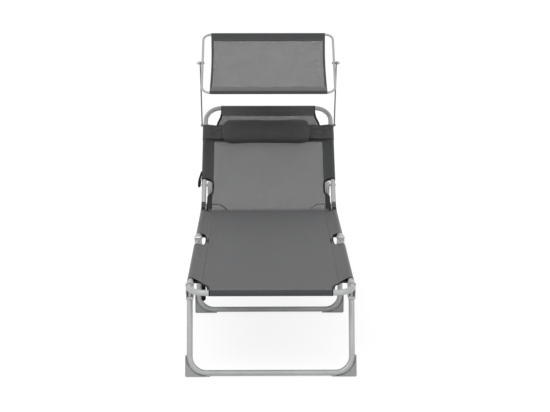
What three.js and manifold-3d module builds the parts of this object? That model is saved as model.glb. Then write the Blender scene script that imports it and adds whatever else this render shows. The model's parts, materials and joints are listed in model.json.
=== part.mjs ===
// Sun lounger with canopy: a folding bed of three hinged sections on three U-shaped legs,
// with a ratchet backrest, a sliding head pillow and a small tilting canopy.
// Units are millimetres. +X is the right side seen from the foot end, +Y runs from foot to head, +Z is up.
import * as THREE from 'three';
import { mergeVertices } from 'three/addons/utils/BufferGeometryUtils.js';
import Module from 'manifold-3d';

const wasm = await Module();
wasm.setup();

const degrees = THREE.MathUtils.degToRad;

// Section lengths, between the front cross tube, the hinge pins and the top cross tube
const FOOT_LENGTH = 736;
const SEAT_LENGTH = 555;
const BACK_LENGTH = 550;

// Bed
const BED_HALF_WIDTH = 275; // to the axis of a side tube
const BED_HEIGHT = 300; // from the floor to the axis of a side tube
const BACK_ANGLE = degrees(43);
const FOOT_CORNER_RADIUS = 65;
const BACK_CORNER_RADIUS = 68;

// Frame tube
const TUBE_RADIUS = 10;
const TUBE_WALL = 1;
const TUBE_SIDES = 12;
const BEND_STEPS = 5;

// Clearances and the overrun of every cut
const GAP = 0.3;
const RUNNING_GAP = 0.35;
const STOP_GAP = 0.5;
const OVERRUN = 2;
const MERGE_DISTANCE = 1e-4; // of corners that are the same point

// Cloth
const CLOTH = 1.2;
const HEM_CLOTH = 2.2;
const SLEEVE_CLOTH = 1;
const SIDE_HEM = 29;
const END_HEM = 32;

// Foot hinge
const FOOT_HINGE_RISE = 12; // of the pin above the tube axis
const FOOT_HINGE_HALF_WIDTH = 11;
const FOOT_EYE_RADIUS = 10;
const FOOT_TONGUE_HALF_WIDTH = 5.2;
const FOOT_BLOCK_LENGTH = 26;
const PLUG_LENGTH = 24;

// Hip ratchet
const RATCHET_RADIUS = 20;
const RATCHET_HALF_WIDTH = 9.5;
const RATCHET_CHAMBER_HALF_WIDTH = 6;
const RATCHET_CHAMBER_DEPTH = 22; // from the hip pin towards the seat
const RATCHET_BLOCK_LENGTH = 36;
const GEAR_ROOT_RADIUS = 11;
const GEAR_TOOTH_HEIGHT = 2.2;
const GEAR_TEETH = 17;
const GEAR_NECK_HALF_HEIGHT = 7.5;
const GEAR_COLLAR_GAP = 4; // between the housing and the gear's collar
const PAWL_REACH = 17.5; // of the pawl's axle from the hip pin, towards the seat
const PAWL_RISE = 5;
const PAWL_LENGTH = 12;
const PAWL_TIP_SHARE = 0.36; // of the pawl's length, from its axle towards the gear
const PAWL_HALF_WIDTH = 4;
const PAWL_EYE_RADIUS = 3.2;
const PAWL_AXLE_RADIUS = 1.6;

// Pins and rivets
const PIN_RADIUS = 3;
const PIN_HEAD_RADIUS = 5.2;
const PIN_HEAD = 2;
const HIP_PIN_RADIUS = 4;
const HIP_PIN_HEAD_RADIUS = 6.5;
const RIVET_RADIUS = 2.4;
const RIVET_HEAD_RADIUS = 4.8;
const PIN_SIDES = 12;

// Legs
const LEG_PIVOT_DROP = 27; // of a front or middle leg's pin below the side tube
const LEG_TOP = 12; // of the leg tube above its pin
const LEG_BEND_RADIUS = 57;
const SHOE_FLOOR = 3; // under the leg's cross tube
const SHOE_HALF_THICKNESS = 8;
const SHOE_SIDE = 5; // outside the leg tube
const SHOE_HEIGHT = 73;
const SHOE_REACH = 84; // inwards along the cross tube
const FRONT_LEG_FROM_END = 105; // pin behind the front cross tube
const FRONT_LEG_RAKE = degrees(17.5);
const MIDDLE_LEG_FROM_HINGE = 59; // pin behind the foot hinge
const MIDDLE_LEG_RAKE = degrees(1.7);
const REAR_LEG_FROM_HIP = 130; // rivet along the back tube
const REAR_LEG_RAKE = degrees(-4);
const REAR_TUBE_RADIUS = 9;
const REAR_LEG_SPACER = 4;

// Leg bracket
const BRACKET_WALL = 2.2;
const BRACKET_HALF_LENGTH = 20;
const BRACKET_SKIRT = 20; // below the leg pin
const BRACKET_STOP_HEIGHT = 9;
const SADDLE_STEPS = 10;

// Cut-outs in the cloth
const FRONT_HEM_INSET = 69; // from the side tube's axis
const TOP_HEM_INSET = 68;
const FRONT_SLEEVE_START = 152; // from the front cross tube
// The front corner's edge, from the end of the side sleeve to the end of the front hem
const CORNER_INWARD_SHARES = [0.37, 0.67, 0.886, 0.98];
const CORNER_FORWARD_SHARES = [0.14, 0.32, 0.475, 0.79];
const FOOT_CUTOUT_BEFORE = 85; // towards the foot, from the foot hinge
const FOOT_CUTOUT_AFTER = 84; // towards the head, from the foot hinge
const FOOT_CUTOUT_DEPTH = 36.5; // inwards from the tube axis
const HIP_CUTOUT_BEFORE = 46;
const HIP_CUTOUT_AFTER = 154;
const HIP_CUTOUT_DEPTH = 34.5;
// The hip cut-out is narrowest beside the hinge and deepest beside the rear leg
const HIP_CUTOUT_RUN_SHARES = [0.015, 0.38, 0.44, 0.58, 0.64, 0.67, 0.7, 0.94, 0.98];
const HIP_CUTOUT_DEPTH_SHARES = [0.06, 0.06, 0.2, 0.2, 0.55, 0.92, 1, 1, 0.75];
const NECK_SLEEVE_END = 440; // along the back from the hip
// The neck edge, from the end of the side sleeve to the end of the top hem
const NECK_INWARD_SHARES = [0.6, 0.72, 0.84, 0.93, 0.98];
const NECK_UPWARD_SHARES = [0.12, 0.3, 0.47, 0.64, 0.82];
const HINGE_SPLIT = 2.2; // half the gap between two cloth panels at a hinge
const CUTOUT_STEPS = 6;

// Pillow and its band
const BAND_START = 371; // along the back from the hip
const BAND_WIDTH = 76;
const BAND_CLOTH = 1.2;
const BAND_STEPS = 6; // of each half turn round a tube
const PILLOW_LENGTH = 382;
const PILLOW_HEIGHT = 116;
const PILLOW_THICKNESS = 54;
const PILLOW_DROP = 17; // of its middle below the middle of the band
const PILLOW_OFF_MIDDLE = -6; // across the bed
const PILLOW_LIFT = 22; // of the widest section above the band
const PILLOW_SLICES = 28;
const PILLOW_RINGS = 18;
const PILLOW_OUTLINE_SHARE = 0.3;
const PILLOW_SECTION_SHARE = 0.66;

// Canopy
const ARM_FROM_HIP = 455; // bolt along the back tube
const ARM_LENGTH = 314;
const ARM_LEAN = degrees(70.6); // forwards from the line of the back
const ARM_RADIUS = 3;
const ARM_OFFSET = 16; // outwards from the side tube's axis
const ARM_EYE_RADIUS = 7;
const ARM_EYE_HALF_WIDTH = 3.2;
const BOLT_RADIUS = 2.5;
const BOLT_HEAD_RADIUS = 4.6;
const BOLT_HEAD = 3;
const CANOPY_OFFSET = 6; // outwards from the side tube's axis
const CANOPY_DEPTH = 351;
const CANOPY_TILT = degrees(38.2);
const CANOPY_TUBE_RADIUS = 5;
const CANOPY_TUBE_WALL = 1;
const CANOPY_TUBE_SIDES = 10;
const CANOPY_BEND_RADIUS = 34;
const CANOPY_CLOTH_INSET = 34; // from the frame tube's axis
const CANOPY_HEM = 45;
const CANOPY_JOINT_GAP = 0.6;
const CANOPY_PLUG_LENGTH = 60;
const NUT_THICKNESS = 6;
const NUT_RADIUS = 4.6;
const WING_SPAN = 11; // from the bolt axis
const WING_HEIGHT = 7;
const WING_HALF_THICKNESS = 1.4;
const CANOPY_BOLT_TAIL = 6; // past the wing nut

// Webbing
const TIE_WIDTH = 17;
const TIE_THICKNESS = 1.6;
const TIE_LENGTH = 201;
const TIE_TAB = 34;
const TIE_FROM_HINGE = 123; // towards the foot, from the foot hinge
const TIE_INSET = 25; // from the side tube's axis
const LOOP_WIDTH = 18;
const LOOP_START = 122; // along the back from the hip
const LOOP_HEIGHT = 78;
const LOOP_REACH = 17;
const LOOP_THICKNESS = 2.4;
const LOOP_REACH_SHARES = [0, 0.5, 0.9, 1, 0.78, 0.3];
const LOOP_HEIGHT_SHARES = [1, 0.84, 0.5, 0.2, 0, 0.06];
const LOOP_CENTRE_REACH_SHARE = 0.55;
const LOOP_CENTRE_HEIGHT_SHARE = 0.38;

// Sizes that follow from the ones above
const INNER_RADIUS = TUBE_RADIUS - TUBE_WALL;
const PLUG_RADIUS = INNER_RADIUS * Math.cos(Math.PI / TUBE_SIDES) - GAP;
const SLEEVE_INNER = TUBE_RADIUS + GAP;
const SLEEVE_OUTER = SLEEVE_INNER + SLEEVE_CLOTH;
const HINGE_Y = FOOT_LENGTH;
const HIP_Y = FOOT_LENGTH + SEAT_LENGTH;
const LEG_DROP = BED_HEIGHT - LEG_PIVOT_DROP;
const REAR_LEG_X = BED_HALF_WIDTH - TUBE_RADIUS - REAR_LEG_SPACER - REAR_TUBE_RADIUS;
const FRONT_HEM_HALF_WIDTH = BED_HALF_WIDTH - FRONT_HEM_INSET;
const TOP_HEM_HALF_WIDTH = BED_HALF_WIDTH - TOP_HEM_INSET;
const TIE_FROM_MIDDLE = BED_HALF_WIDTH - TIE_INSET;
const ARM_PLANE = BED_HALF_WIDTH + ARM_OFFSET;
const CANOPY_HALF_WIDTH = BED_HALF_WIDTH + CANOPY_OFFSET;
const CANOPY_CLOTH_HALF_WIDTH = CANOPY_HALF_WIDTH - CANOPY_CLOTH_INSET;
const ARM_EYE_INNER = ARM_PLANE - ARM_EYE_HALF_WIDTH;
const ARM_EYE_OUTER = ARM_PLANE + ARM_EYE_HALF_WIDTH;
const sides = [
  { side: -1, hand: 'left' },
  { side: 1, hand: 'right' },
];

// Materials
function finish(color, roughness, metalness) {
  return new THREE.MeshStandardMaterial({ color, roughness, metalness });
}

const framePaint = () => finish(0xb9bcbe, 0.42, 0.3);
const steel = () => finish(0xa9abad, 0.35, 0.8);
const shoePlastic = () => finish(0x7d8083, 0.6, 0);
const meshCloth = () => finish(0x55585c, 0.85, 0);
const pillowCloth = () => finish(0x3c3d3f, 0.9, 0);
const webbing = () => finish(0x161617, 0.9, 0);

// A closed geometry as a solid, and back
function solid(geometry) {
  const bare = geometry.clone();
  bare.deleteAttribute('normal');
  bare.deleteAttribute('uv');
  const merged = mergeVertices(bare, MERGE_DISTANCE);
  return new wasm.Manifold(
    new wasm.Mesh({
      numProp: 3,
      vertProperties: new Float32Array(merged.attributes.position.array),
      triVerts: new Uint32Array(merged.index.array),
    }),
  );
}

function surface(manifold) {
  const { numProp, vertProperties, triVerts } = manifold.getMesh();
  const geometry = new THREE.BufferGeometry();
  geometry.setAttribute('position', new THREE.BufferAttribute(new Float32Array(vertProperties), numProp));
  geometry.setIndex(new THREE.BufferAttribute(new Uint32Array(triVerts), 1));
  geometry.computeVertexNormals();
  return geometry;
}

function piece(name, manifold, material) {
  const mesh = new THREE.Mesh(surface(manifold), material);
  mesh.name = name;
  return mesh;
}

const union = (first, ...others) => others.reduce((sum, other) => sum.add(other), first);
const cut = (first, ...others) => others.reduce((rest, other) => rest.subtract(other), first);

// Prisms: an outline drawn in the two axes square to the direction that it runs in
const AXES_X = new THREE.Matrix4().makeBasis(
  new THREE.Vector3(0, 1, 0),
  new THREE.Vector3(0, 0, 1),
  new THREE.Vector3(1, 0, 0),
);
const AXES_Y = new THREE.Matrix4().makeBasis(
  new THREE.Vector3(1, 0, 0),
  new THREE.Vector3(0, 0, 1),
  new THREE.Vector3(0, -1, 0),
);

function prism(shape, length, curveSegments = BEND_STEPS) {
  return new THREE.ExtrudeGeometry(shape, { depth: length, bevelEnabled: false, curveSegments });
}

// The outline is drawn in (y, z) and runs from x = from to x = to
function alongX(shape, from, to, curveSegments) {
  return solid(prism(shape, to - from, curveSegments).translate(0, 0, from).applyMatrix4(AXES_X));
}

// The outline is drawn in (x, z) and runs from y = from to y = to
function alongY(shape, from, to, curveSegments) {
  return solid(prism(shape, to - from, curveSegments).translate(0, 0, -to).applyMatrix4(AXES_Y));
}

// The outline is drawn in (x, y) and runs from z = from to z = to
function alongZ(shape, from, to, curveSegments) {
  return solid(prism(shape, to - from, curveSegments).translate(0, 0, from));
}

// Outlines
function polygon(points) {
  return new THREE.Shape(points.map(([u, v]) => new THREE.Vector2(u, v)));
}

function rectangle(u0, u1, v0, v1) {
  return polygon([[u0, v0], [u1, v0], [u1, v1], [u0, v1]]);
}

function ringPoints(radius, count, u = 0, v = 0) {
  return Array.from({ length: count }, (_, i) => {
    const turn = (2 * Math.PI * (i + 0.5)) / count;
    return [u + radius * Math.cos(turn), v + radius * Math.sin(turn)];
  });
}

const disc = (radius, count, u = 0, v = 0) => polygon(ringPoints(radius, count, u, v));

// A round hole's corners stand outside its radius, so that its flats touch the radius
const hole = (radius, count, u = 0, v = 0) => disc(radius / Math.cos(Math.PI / count), count, u, v);

function withHole(shape, inner) {
  shape.holes.push(inner);
  return shape;
}

const tubeSection = (radius, wall, count) => withHole(disc(radius, count), disc(radius - wall, count));

// A path of straight runs with round corners, as the stations that the swept section passes through
class BentPath extends THREE.Curve {
  constructor(corners, radius, steps) {
    super();
    this.points = [corners[0]];
    this.tangents = [corners[1].clone().sub(corners[0]).normalize()];
    for (let i = 1; i < corners.length - 1; i += 1) {
      const into = corners[i].clone().sub(corners[i - 1]).normalize();
      const out = corners[i + 1].clone().sub(corners[i]).normalize();
      const turn = into.angleTo(out);
      const start = corners[i].clone().addScaledVector(into, -radius * Math.tan(turn / 2));
      const inward = out.clone().addScaledVector(into, -Math.cos(turn)).normalize();
      const centre = start.clone().addScaledVector(inward, radius);
      for (let step = 0; step <= steps; step += 1) {
        const angle = (turn * step) / steps;
        const point = centre.clone().addScaledVector(inward, -radius * Math.cos(angle));
        this.points.push(point.addScaledVector(into, radius * Math.sin(angle)));
        this.tangents.push(
          into.clone().multiplyScalar(Math.cos(angle)).addScaledVector(inward, Math.sin(angle)),
        );
      }
    }
    this.points.push(corners.at(-1));
    this.tangents.push(corners.at(-1).clone().sub(corners.at(-2)).normalize());
    this.steps = this.points.length - 1;
  }

  getPointAt(share) {
    return this.points[Math.round(share * this.steps)].clone();
  }

  getTangentAt(share) {
    return this.tangents[Math.round(share * this.steps)].clone();
  }
}

function sweep(section, path) {
  return solid(
    new THREE.ExtrudeGeometry(section, { steps: path.steps, extrudePath: path, bevelEnabled: false }),
  );
}

const at = (x, y, z) => new THREE.Vector3(x, y, z);

// A round bar along X: shank, with a head at either end
function barAlongX(radius, from, to, y = 0, z = 0, count = PIN_SIDES) {
  return alongX(disc(radius, count, y, z), from, to);
}

function boreAlongX(radius, from, to, y = 0, z = 0, count = PIN_SIDES) {
  return alongX(hole(radius, count, y, z), from, to);
}

function pin(radius, headRadius, head, from, to, y = 0, z = 0) {
  return union(
    barAlongX(radius, from - head, to + head, y, z),
    barAlongX(headRadius, from - head, from, y, z),
    barAlongX(headRadius, to, to + head, y, z),
  );
}

const plugAlongY = (x, z, from, to) => alongY(disc(PLUG_RADIUS, TUBE_SIDES, x, z), from, to);

// Foot hinge, about its pin: a fork in the seat tube and a tongue in the foot tube, which meet face to face
const FOOT_BLOCK_HALF_HEIGHT = TUBE_RADIUS;
const FOOT_SLOT_HALF_WIDTH = FOOT_TONGUE_HALF_WIDTH + RUNNING_GAP;

function footHingeBlock(x, direction) {
  const near = (direction * GAP) / 2;
  const far = direction * FOOT_BLOCK_LENGTH;
  const low = -FOOT_HINGE_RISE - FOOT_BLOCK_HALF_HEIGHT;
  const block = alongX(
    rectangle(Math.min(near, far), Math.max(near, far), low, low + 2 * FOOT_BLOCK_HALF_HEIGHT),
    x - FOOT_HINGE_HALF_WIDTH,
    x + FOOT_HINGE_HALF_WIDTH,
  );
  const plugEnd = far + direction * PLUG_LENGTH;
  const plugStart = far - direction * OVERRUN;
  const plug = plugAlongY(x, -FOOT_HINGE_RISE, Math.min(plugStart, plugEnd), Math.max(plugStart, plugEnd));
  return block.add(plug);
}

function footHingeFork(x) {
  const room = boreAlongX(
    FOOT_EYE_RADIUS + RUNNING_GAP,
    x - FOOT_SLOT_HALF_WIDTH,
    x + FOOT_SLOT_HALF_WIDTH,
  );
  const cheeks = cut(
    barAlongX(FOOT_EYE_RADIUS, x - FOOT_HINGE_HALF_WIDTH, x + FOOT_HINGE_HALF_WIDTH),
    room,
  );
  return cut(
    union(cut(footHingeBlock(x, 1), room), cheeks),
    boreAlongX(PIN_RADIUS + GAP, x - FOOT_HINGE_HALF_WIDTH - OVERRUN, x + FOOT_HINGE_HALF_WIDTH + OVERRUN),
  );
}

function footHingeTongue(x) {
  const low = x - FOOT_HINGE_HALF_WIDTH - OVERRUN;
  const high = x + FOOT_HINGE_HALF_WIDTH + OVERRUN;
  const eye = barAlongX(FOOT_EYE_RADIUS, x - FOOT_TONGUE_HALF_WIDTH, x + FOOT_TONGUE_HALF_WIDTH);
  const block = cut(
    footHingeBlock(x, -1),
    boreAlongX(FOOT_EYE_RADIUS + RUNNING_GAP, low, x - FOOT_TONGUE_HALF_WIDTH),
    boreAlongX(FOOT_EYE_RADIUS + RUNNING_GAP, x + FOOT_TONGUE_HALF_WIDTH, high),
  );
  return cut(block.add(eye), boreAlongX(PIN_RADIUS + GAP, low, high));
}

// Hip ratchet, about its pin: a housing in the seat tube, a toothed gear in the back tube and a pawl
function ratchetHousing(x) {
  const outline = rectangle(-RATCHET_BLOCK_LENGTH, 0, -TUBE_RADIUS, TUBE_RADIUS);
  const body = union(
    alongX(outline, x - RATCHET_HALF_WIDTH, x + RATCHET_HALF_WIDTH),
    barAlongX(RATCHET_RADIUS, x - RATCHET_HALF_WIDTH, x + RATCHET_HALF_WIDTH, 0, 0, 2 * PIN_SIDES),
    plugAlongY(x, 0, -RATCHET_BLOCK_LENGTH - PLUG_LENGTH, OVERRUN - RATCHET_BLOCK_LENGTH),
  );
  const reach = RATCHET_RADIUS + OVERRUN;
  const chamber = alongX(
    rectangle(-RATCHET_CHAMBER_DEPTH, reach, -reach, reach),
    x - RATCHET_CHAMBER_HALF_WIDTH,
    x + RATCHET_CHAMBER_HALF_WIDTH,
  );
  const low = x - RATCHET_HALF_WIDTH - OVERRUN;
  const high = x + RATCHET_HALF_WIDTH + OVERRUN;
  return cut(
    body,
    chamber,
    boreAlongX(HIP_PIN_RADIUS + GAP, low, high),
    boreAlongX(PAWL_AXLE_RADIUS + GAP, low, high, -PAWL_REACH, PAWL_RISE),
  );
}

// Saw teeth all round, apart from the neck
function gearOutline() {
  const points = [];
  const neck = Math.asin(GEAR_NECK_HALF_HEIGHT / (GEAR_ROOT_RADIUS + GEAR_TOOTH_HEIGHT));
  const pitch = (2 * (Math.PI - neck)) / GEAR_TEETH;
  for (let tooth = 0; tooth < GEAR_TEETH; tooth += 1) {
    const angle = neck + tooth * pitch;
    const tip = GEAR_ROOT_RADIUS + GEAR_TOOTH_HEIGHT;
    points.push([GEAR_ROOT_RADIUS * Math.cos(angle), GEAR_ROOT_RADIUS * Math.sin(angle)]);
    points.push([tip * Math.cos(angle + pitch), tip * Math.sin(angle + pitch)]);
  }
  return polygon(points);
}

function ratchetGear(x) {
  const halfWidth = RATCHET_CHAMBER_HALF_WIDTH - RUNNING_GAP;
  const collarStart = RATCHET_RADIUS + GEAR_COLLAR_GAP;
  return cut(
    union(
      alongX(gearOutline(), x - halfWidth, x + halfWidth),
      alongX(
        rectangle(0, RATCHET_BLOCK_LENGTH, -GEAR_NECK_HALF_HEIGHT, GEAR_NECK_HALF_HEIGHT),
        x - halfWidth,
        x + halfWidth,
      ),
      alongX(
        rectangle(collarStart, RATCHET_BLOCK_LENGTH, -TUBE_RADIUS, TUBE_RADIUS),
        x - RATCHET_HALF_WIDTH,
        x + RATCHET_HALF_WIDTH,
      ),
      plugAlongY(x, 0, RATCHET_BLOCK_LENGTH - OVERRUN, RATCHET_BLOCK_LENGTH + PLUG_LENGTH),
    ),
    boreAlongX(HIP_PIN_RADIUS + GAP, x - RATCHET_HALF_WIDTH, x + RATCHET_HALF_WIDTH),
  );
}

// The pawl hangs below its axle, just clear of the teeth
function pawl(x) {
  const tipY = PAWL_LENGTH * PAWL_TIP_SHARE;
  const tipZ = -PAWL_LENGTH;
  return union(
    barAlongX(PAWL_AXLE_RADIUS, x - RATCHET_HALF_WIDTH, x + RATCHET_HALF_WIDTH),
    barAlongX(PAWL_EYE_RADIUS, x - PAWL_HALF_WIDTH, x + PAWL_HALF_WIDTH),
    alongX(
      polygon([
        [-PAWL_EYE_RADIUS, 0],
        [tipY - PAWL_AXLE_RADIUS, tipZ],
        [tipY, tipZ],
        [PAWL_EYE_RADIUS, 0],
      ]),
      x - PAWL_HALF_WIDTH,
      x + PAWL_HALF_WIDTH,
    ),
  );
}

// Leg bracket, about the side tube's axis: a pressed saddle over the tube, with two cheeks and a front stop
const BRACKET_INNER = TUBE_RADIUS + RUNNING_GAP;
const BRACKET_OUTER = BRACKET_INNER + BRACKET_WALL;
const BRACKET_BOTTOM = -LEG_PIVOT_DROP - BRACKET_SKIRT;

function saddleOutline(radius, bottom) {
  const shape = new THREE.Shape();
  shape.moveTo(radius, bottom);
  shape.lineTo(radius, 0);
  shape.absarc(0, 0, radius, 0, Math.PI, false);
  shape.lineTo(-radius, bottom);
  return shape;
}

function legBracket(rake) {
  const shell = cut(
    alongY(
      saddleOutline(BRACKET_OUTER, BRACKET_BOTTOM),
      -BRACKET_HALF_LENGTH,
      BRACKET_HALF_LENGTH,
      SADDLE_STEPS,
    ),
    alongY(
      saddleOutline(BRACKET_INNER, BRACKET_BOTTOM - OVERRUN),
      -BRACKET_HALF_LENGTH - OVERRUN,
      BRACKET_HALF_LENGTH + OVERRUN,
      SADDLE_STEPS,
    ),
  );
  const stopFace = -(BRACKET_SKIRT * Math.tan(rake) + TUBE_RADIUS / Math.cos(rake) + STOP_GAP);
  const stop = alongX(
    rectangle(stopFace - BRACKET_WALL, stopFace, BRACKET_BOTTOM, BRACKET_BOTTOM + BRACKET_STOP_HEIGHT),
    -BRACKET_INNER - BRACKET_WALL / 2,
    BRACKET_INNER + BRACKET_WALL / 2,
  );
  return cut(
    shell.add(stop),
    boreAlongX(RIVET_RADIUS + GAP, -BRACKET_OUTER - OVERRUN, BRACKET_OUTER + OVERRUN),
    boreAlongX(PIN_RADIUS + GAP, -BRACKET_OUTER - OVERRUN, BRACKET_OUTER + OVERRUN, 0, -LEG_PIVOT_DROP),
  );
}

const BRACKET_GRIP = BRACKET_OUTER + GAP;
const bracketRivet = () => pin(RIVET_RADIUS, RIVET_HEAD_RADIUS, PIN_HEAD, -BRACKET_GRIP, BRACKET_GRIP);
const legPin = () => pin(PIN_RADIUS, PIN_HEAD_RADIUS, PIN_HEAD, -BRACKET_GRIP, BRACKET_GRIP);

// Leg, about its pins and pointing straight down: a U tube and two corner shoes
function legTube(halfWidth, radius, length, boreX) {
  const path = new BentPath(
    [
      at(-halfWidth, 0, LEG_TOP),
      at(-halfWidth, 0, -length),
      at(halfWidth, 0, -length),
      at(halfWidth, 0, LEG_TOP),
    ],
    LEG_BEND_RADIUS,
    BEND_STEPS,
  );
  return cut(
    sweep(tubeSection(radius, TUBE_WALL, TUBE_SIDES), path),
    boreAlongX(PIN_RADIUS + GAP, -boreX, boreX),
  );
}

// The shoe fills the corner outside the bend and is cut level with the floor
function legShoe(side, halfWidth, radius, length, rake) {
  const outer = halfWidth + radius + SHOE_SIDE;
  const bottom = -length - radius - SHOE_FLOOR - OVERRUN * 2;
  const inner = outer - SHOE_REACH;
  const top = -length - radius - SHOE_FLOOR + SHOE_HEIGHT;
  const bendX = halfWidth - LEG_BEND_RADIUS;
  const bendZ = -length + LEG_BEND_RADIUS;
  const points = [[outer, bottom], [outer, top], [halfWidth, top]];
  for (let step = 0; step <= BEND_STEPS; step += 1) {
    const turn = ((Math.PI / 2) * step) / BEND_STEPS;
    points.push([bendX + LEG_BEND_RADIUS * Math.cos(turn), bendZ - LEG_BEND_RADIUS * Math.sin(turn)]);
  }
  points.push([inner, -length], [inner, bottom]);
  const block = alongY(
    polygon(points.map(([x, z]) => [side * x, z])),
    -SHOE_HALF_THICKNESS,
    SHOE_HALF_THICKNESS,
  );
  const channelPath = new BentPath(
    [
      at(side * halfWidth, 0, top + OVERRUN),
      at(side * halfWidth, 0, -length),
      at(side * (inner - OVERRUN), 0, -length),
    ],
    LEG_BEND_RADIUS,
    BEND_STEPS,
  );
  const channel = sweep(hole(radius + GAP, TUBE_SIDES), channelPath);
  const belowFloor = prism(rectangle(-outer - OVERRUN, outer + OVERRUN, -outer, outer), SHOE_REACH)
    .translate(0, -length * Math.sin(rake), -SHOE_REACH - floorDrop(length, radius, rake))
    .rotateX(rake);
  return cut(block, channel, solid(belowFloor));
}

// Height of a leg's pins above the floor, by the length from the pins to the axis of its cross tube
const floorDrop = (length, radius, rake) => length * Math.cos(rake) + radius + SHOE_FLOOR;
const legLength = (drop, radius, rake) => (drop - radius - SHOE_FLOOR) / Math.cos(rake);

// Cloth: a flat web with thicker hems, and sleeves round the tubes
function sleeveAlongY(x, from, to, inner, outer) {
  return alongY(withHole(disc(outer, TUBE_SIDES, x), hole(inner, TUBE_SIDES, x)), from, to);
}

function sleeveAlongX(from, to, y, inner, outer) {
  return alongX(withHole(disc(outer, TUBE_SIDES, y), hole(inner, TUBE_SIDES, y)), from, to);
}

const WEB_EDGE = BED_HALF_WIDTH - SLEEVE_INNER - SLEEVE_CLOTH / 2;

// A rounded notch from u = from to u = to, as deep as depth at its middle
function notch(side, from, to, edge, depth) {
  const middle = (from + to) / 2;
  const half = (to - from) / 2;
  const points = [[side * (edge + depth), from], [side * edge, from]];
  for (let step = 1; step < CUTOUT_STEPS; step += 1) {
    const turn = (Math.PI * step) / CUTOUT_STEPS;
    const reach = Math.sqrt(Math.sin(turn));
    points.push([side * (edge - depth * reach), middle - half * Math.cos(turn)]);
  }
  points.push([side * edge, to], [side * (edge + depth), to]);
  return polygon(points);
}

// The hip cut-out from u = from to u = to, drawn through its shares
function hipNotch(side, from, to) {
  const points = HIP_CUTOUT_RUN_SHARES.map((share, i) => [
    side * (WEB_EDGE - HIP_CUTOUT_DEPTH_SHARES[i] * HIP_NOTCH_DEPTH),
    from + share * (to - from),
  ]);
  return polygon([
    [side * (WEB_EDGE + HIP_NOTCH_DEPTH), from],
    [side * WEB_EDGE, from],
    ...points,
    [side * WEB_EDGE, to],
    [side * (WEB_EDGE + HIP_NOTCH_DEPTH), to],
  ]);
}

function sideHems(from, to) {
  return sides.map(({ side }) =>
    alongZ(
      rectangle(
        Math.min(side * WEB_EDGE, side * (WEB_EDGE - SIDE_HEM)),
        Math.max(side * WEB_EDGE, side * (WEB_EDGE - SIDE_HEM)),
        from,
        to,
      ),
      -HEM_CLOTH / 2,
      HEM_CLOTH / 2,
    ),
  );
}

const flatCloth = (outline) => alongZ(outline, -CLOTH / 2, CLOTH / 2);

function endHem(halfWidth, from, to) {
  return alongZ(rectangle(-halfWidth, halfWidth, from, to), -HEM_CLOTH / 2, HEM_CLOTH / 2);
}

const FOOT_NOTCH_DEPTH = FOOT_CUTOUT_DEPTH - SLEEVE_INNER;
const HIP_NOTCH_DEPTH = HIP_CUTOUT_DEPTH - SLEEVE_INNER;

// Both cut-outs at a hinge that is at u = hinge
const cutThrough = (outline) => sides.map(({ side }) => alongZ(outline(side), -HEM_CLOTH, HEM_CLOTH));
const footNotches = (hinge) =>
  cutThrough((side) =>
    notch(side, hinge - FOOT_CUTOUT_BEFORE, hinge + FOOT_CUTOUT_AFTER, WEB_EDGE, FOOT_NOTCH_DEPTH),
  );
const hipNotches = (hinge) =>
  cutThrough((side) => hipNotch(side, hinge - HIP_CUTOUT_BEFORE, hinge + HIP_CUTOUT_AFTER));

// Foot panel: the foot hinge is at y = 0 and the front cross tube at y = -FOOT_LENGTH
function footCloth() {
  const front = -FOOT_LENGTH;
  const sleeveStart = front + FRONT_SLEEVE_START;
  const webFront = front + SLEEVE_INNER + SLEEVE_CLOTH / 2;
  const cornerPoint = (side, inward, forward) => [
    side * (WEB_EDGE - inward * (WEB_EDGE - FRONT_HEM_HALF_WIDTH)),
    sleeveStart - forward * (sleeveStart - webFront),
  ];
  const corner = (side) => [
    cornerPoint(side, 0, 0),
    ...CORNER_INWARD_SHARES.map((inward, i) => cornerPoint(side, inward, CORNER_FORWARD_SHARES[i])),
    cornerPoint(side, 1, 1),
  ];
  const outline = polygon([
    [-WEB_EDGE, -HINGE_SPLIT],
    ...corner(-1),
    ...corner(1).reverse(),
    [WEB_EDGE, -HINGE_SPLIT],
  ]);
  return union(
    cut(
      union(
        flatCloth(outline),
        ...sideHems(sleeveStart, -HINGE_SPLIT),
        endHem(FRONT_HEM_HALF_WIDTH, webFront, webFront + END_HEM),
      ),
      ...footNotches(0),
    ),
    ...sides.map(({ side }) =>
      sleeveAlongY(side * BED_HALF_WIDTH, sleeveStart, -FOOT_CUTOUT_BEFORE, SLEEVE_INNER, SLEEVE_OUTER),
    ),
    sleeveAlongX(-FRONT_HEM_HALF_WIDTH, FRONT_HEM_HALF_WIDTH, front, SLEEVE_INNER, SLEEVE_OUTER),
  );
}

// Seat panel: the foot hinge is at y = 0 and the hip at y = SEAT_LENGTH
function seatCloth() {
  const back = SEAT_LENGTH - HINGE_SPLIT;
  return union(
    cut(
      union(
        flatCloth(rectangle(-WEB_EDGE, WEB_EDGE, HINGE_SPLIT, back)),
        ...sideHems(HINGE_SPLIT, back),
      ),
      ...footNotches(0),
      ...hipNotches(SEAT_LENGTH),
    ),
    ...sides.map(({ side }) =>
      sleeveAlongY(
        side * BED_HALF_WIDTH,
        FOOT_CUTOUT_AFTER,
        SEAT_LENGTH - HIP_CUTOUT_BEFORE,
        SLEEVE_INNER,
        SLEEVE_OUTER,
      ),
    ),
  );
}

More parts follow.
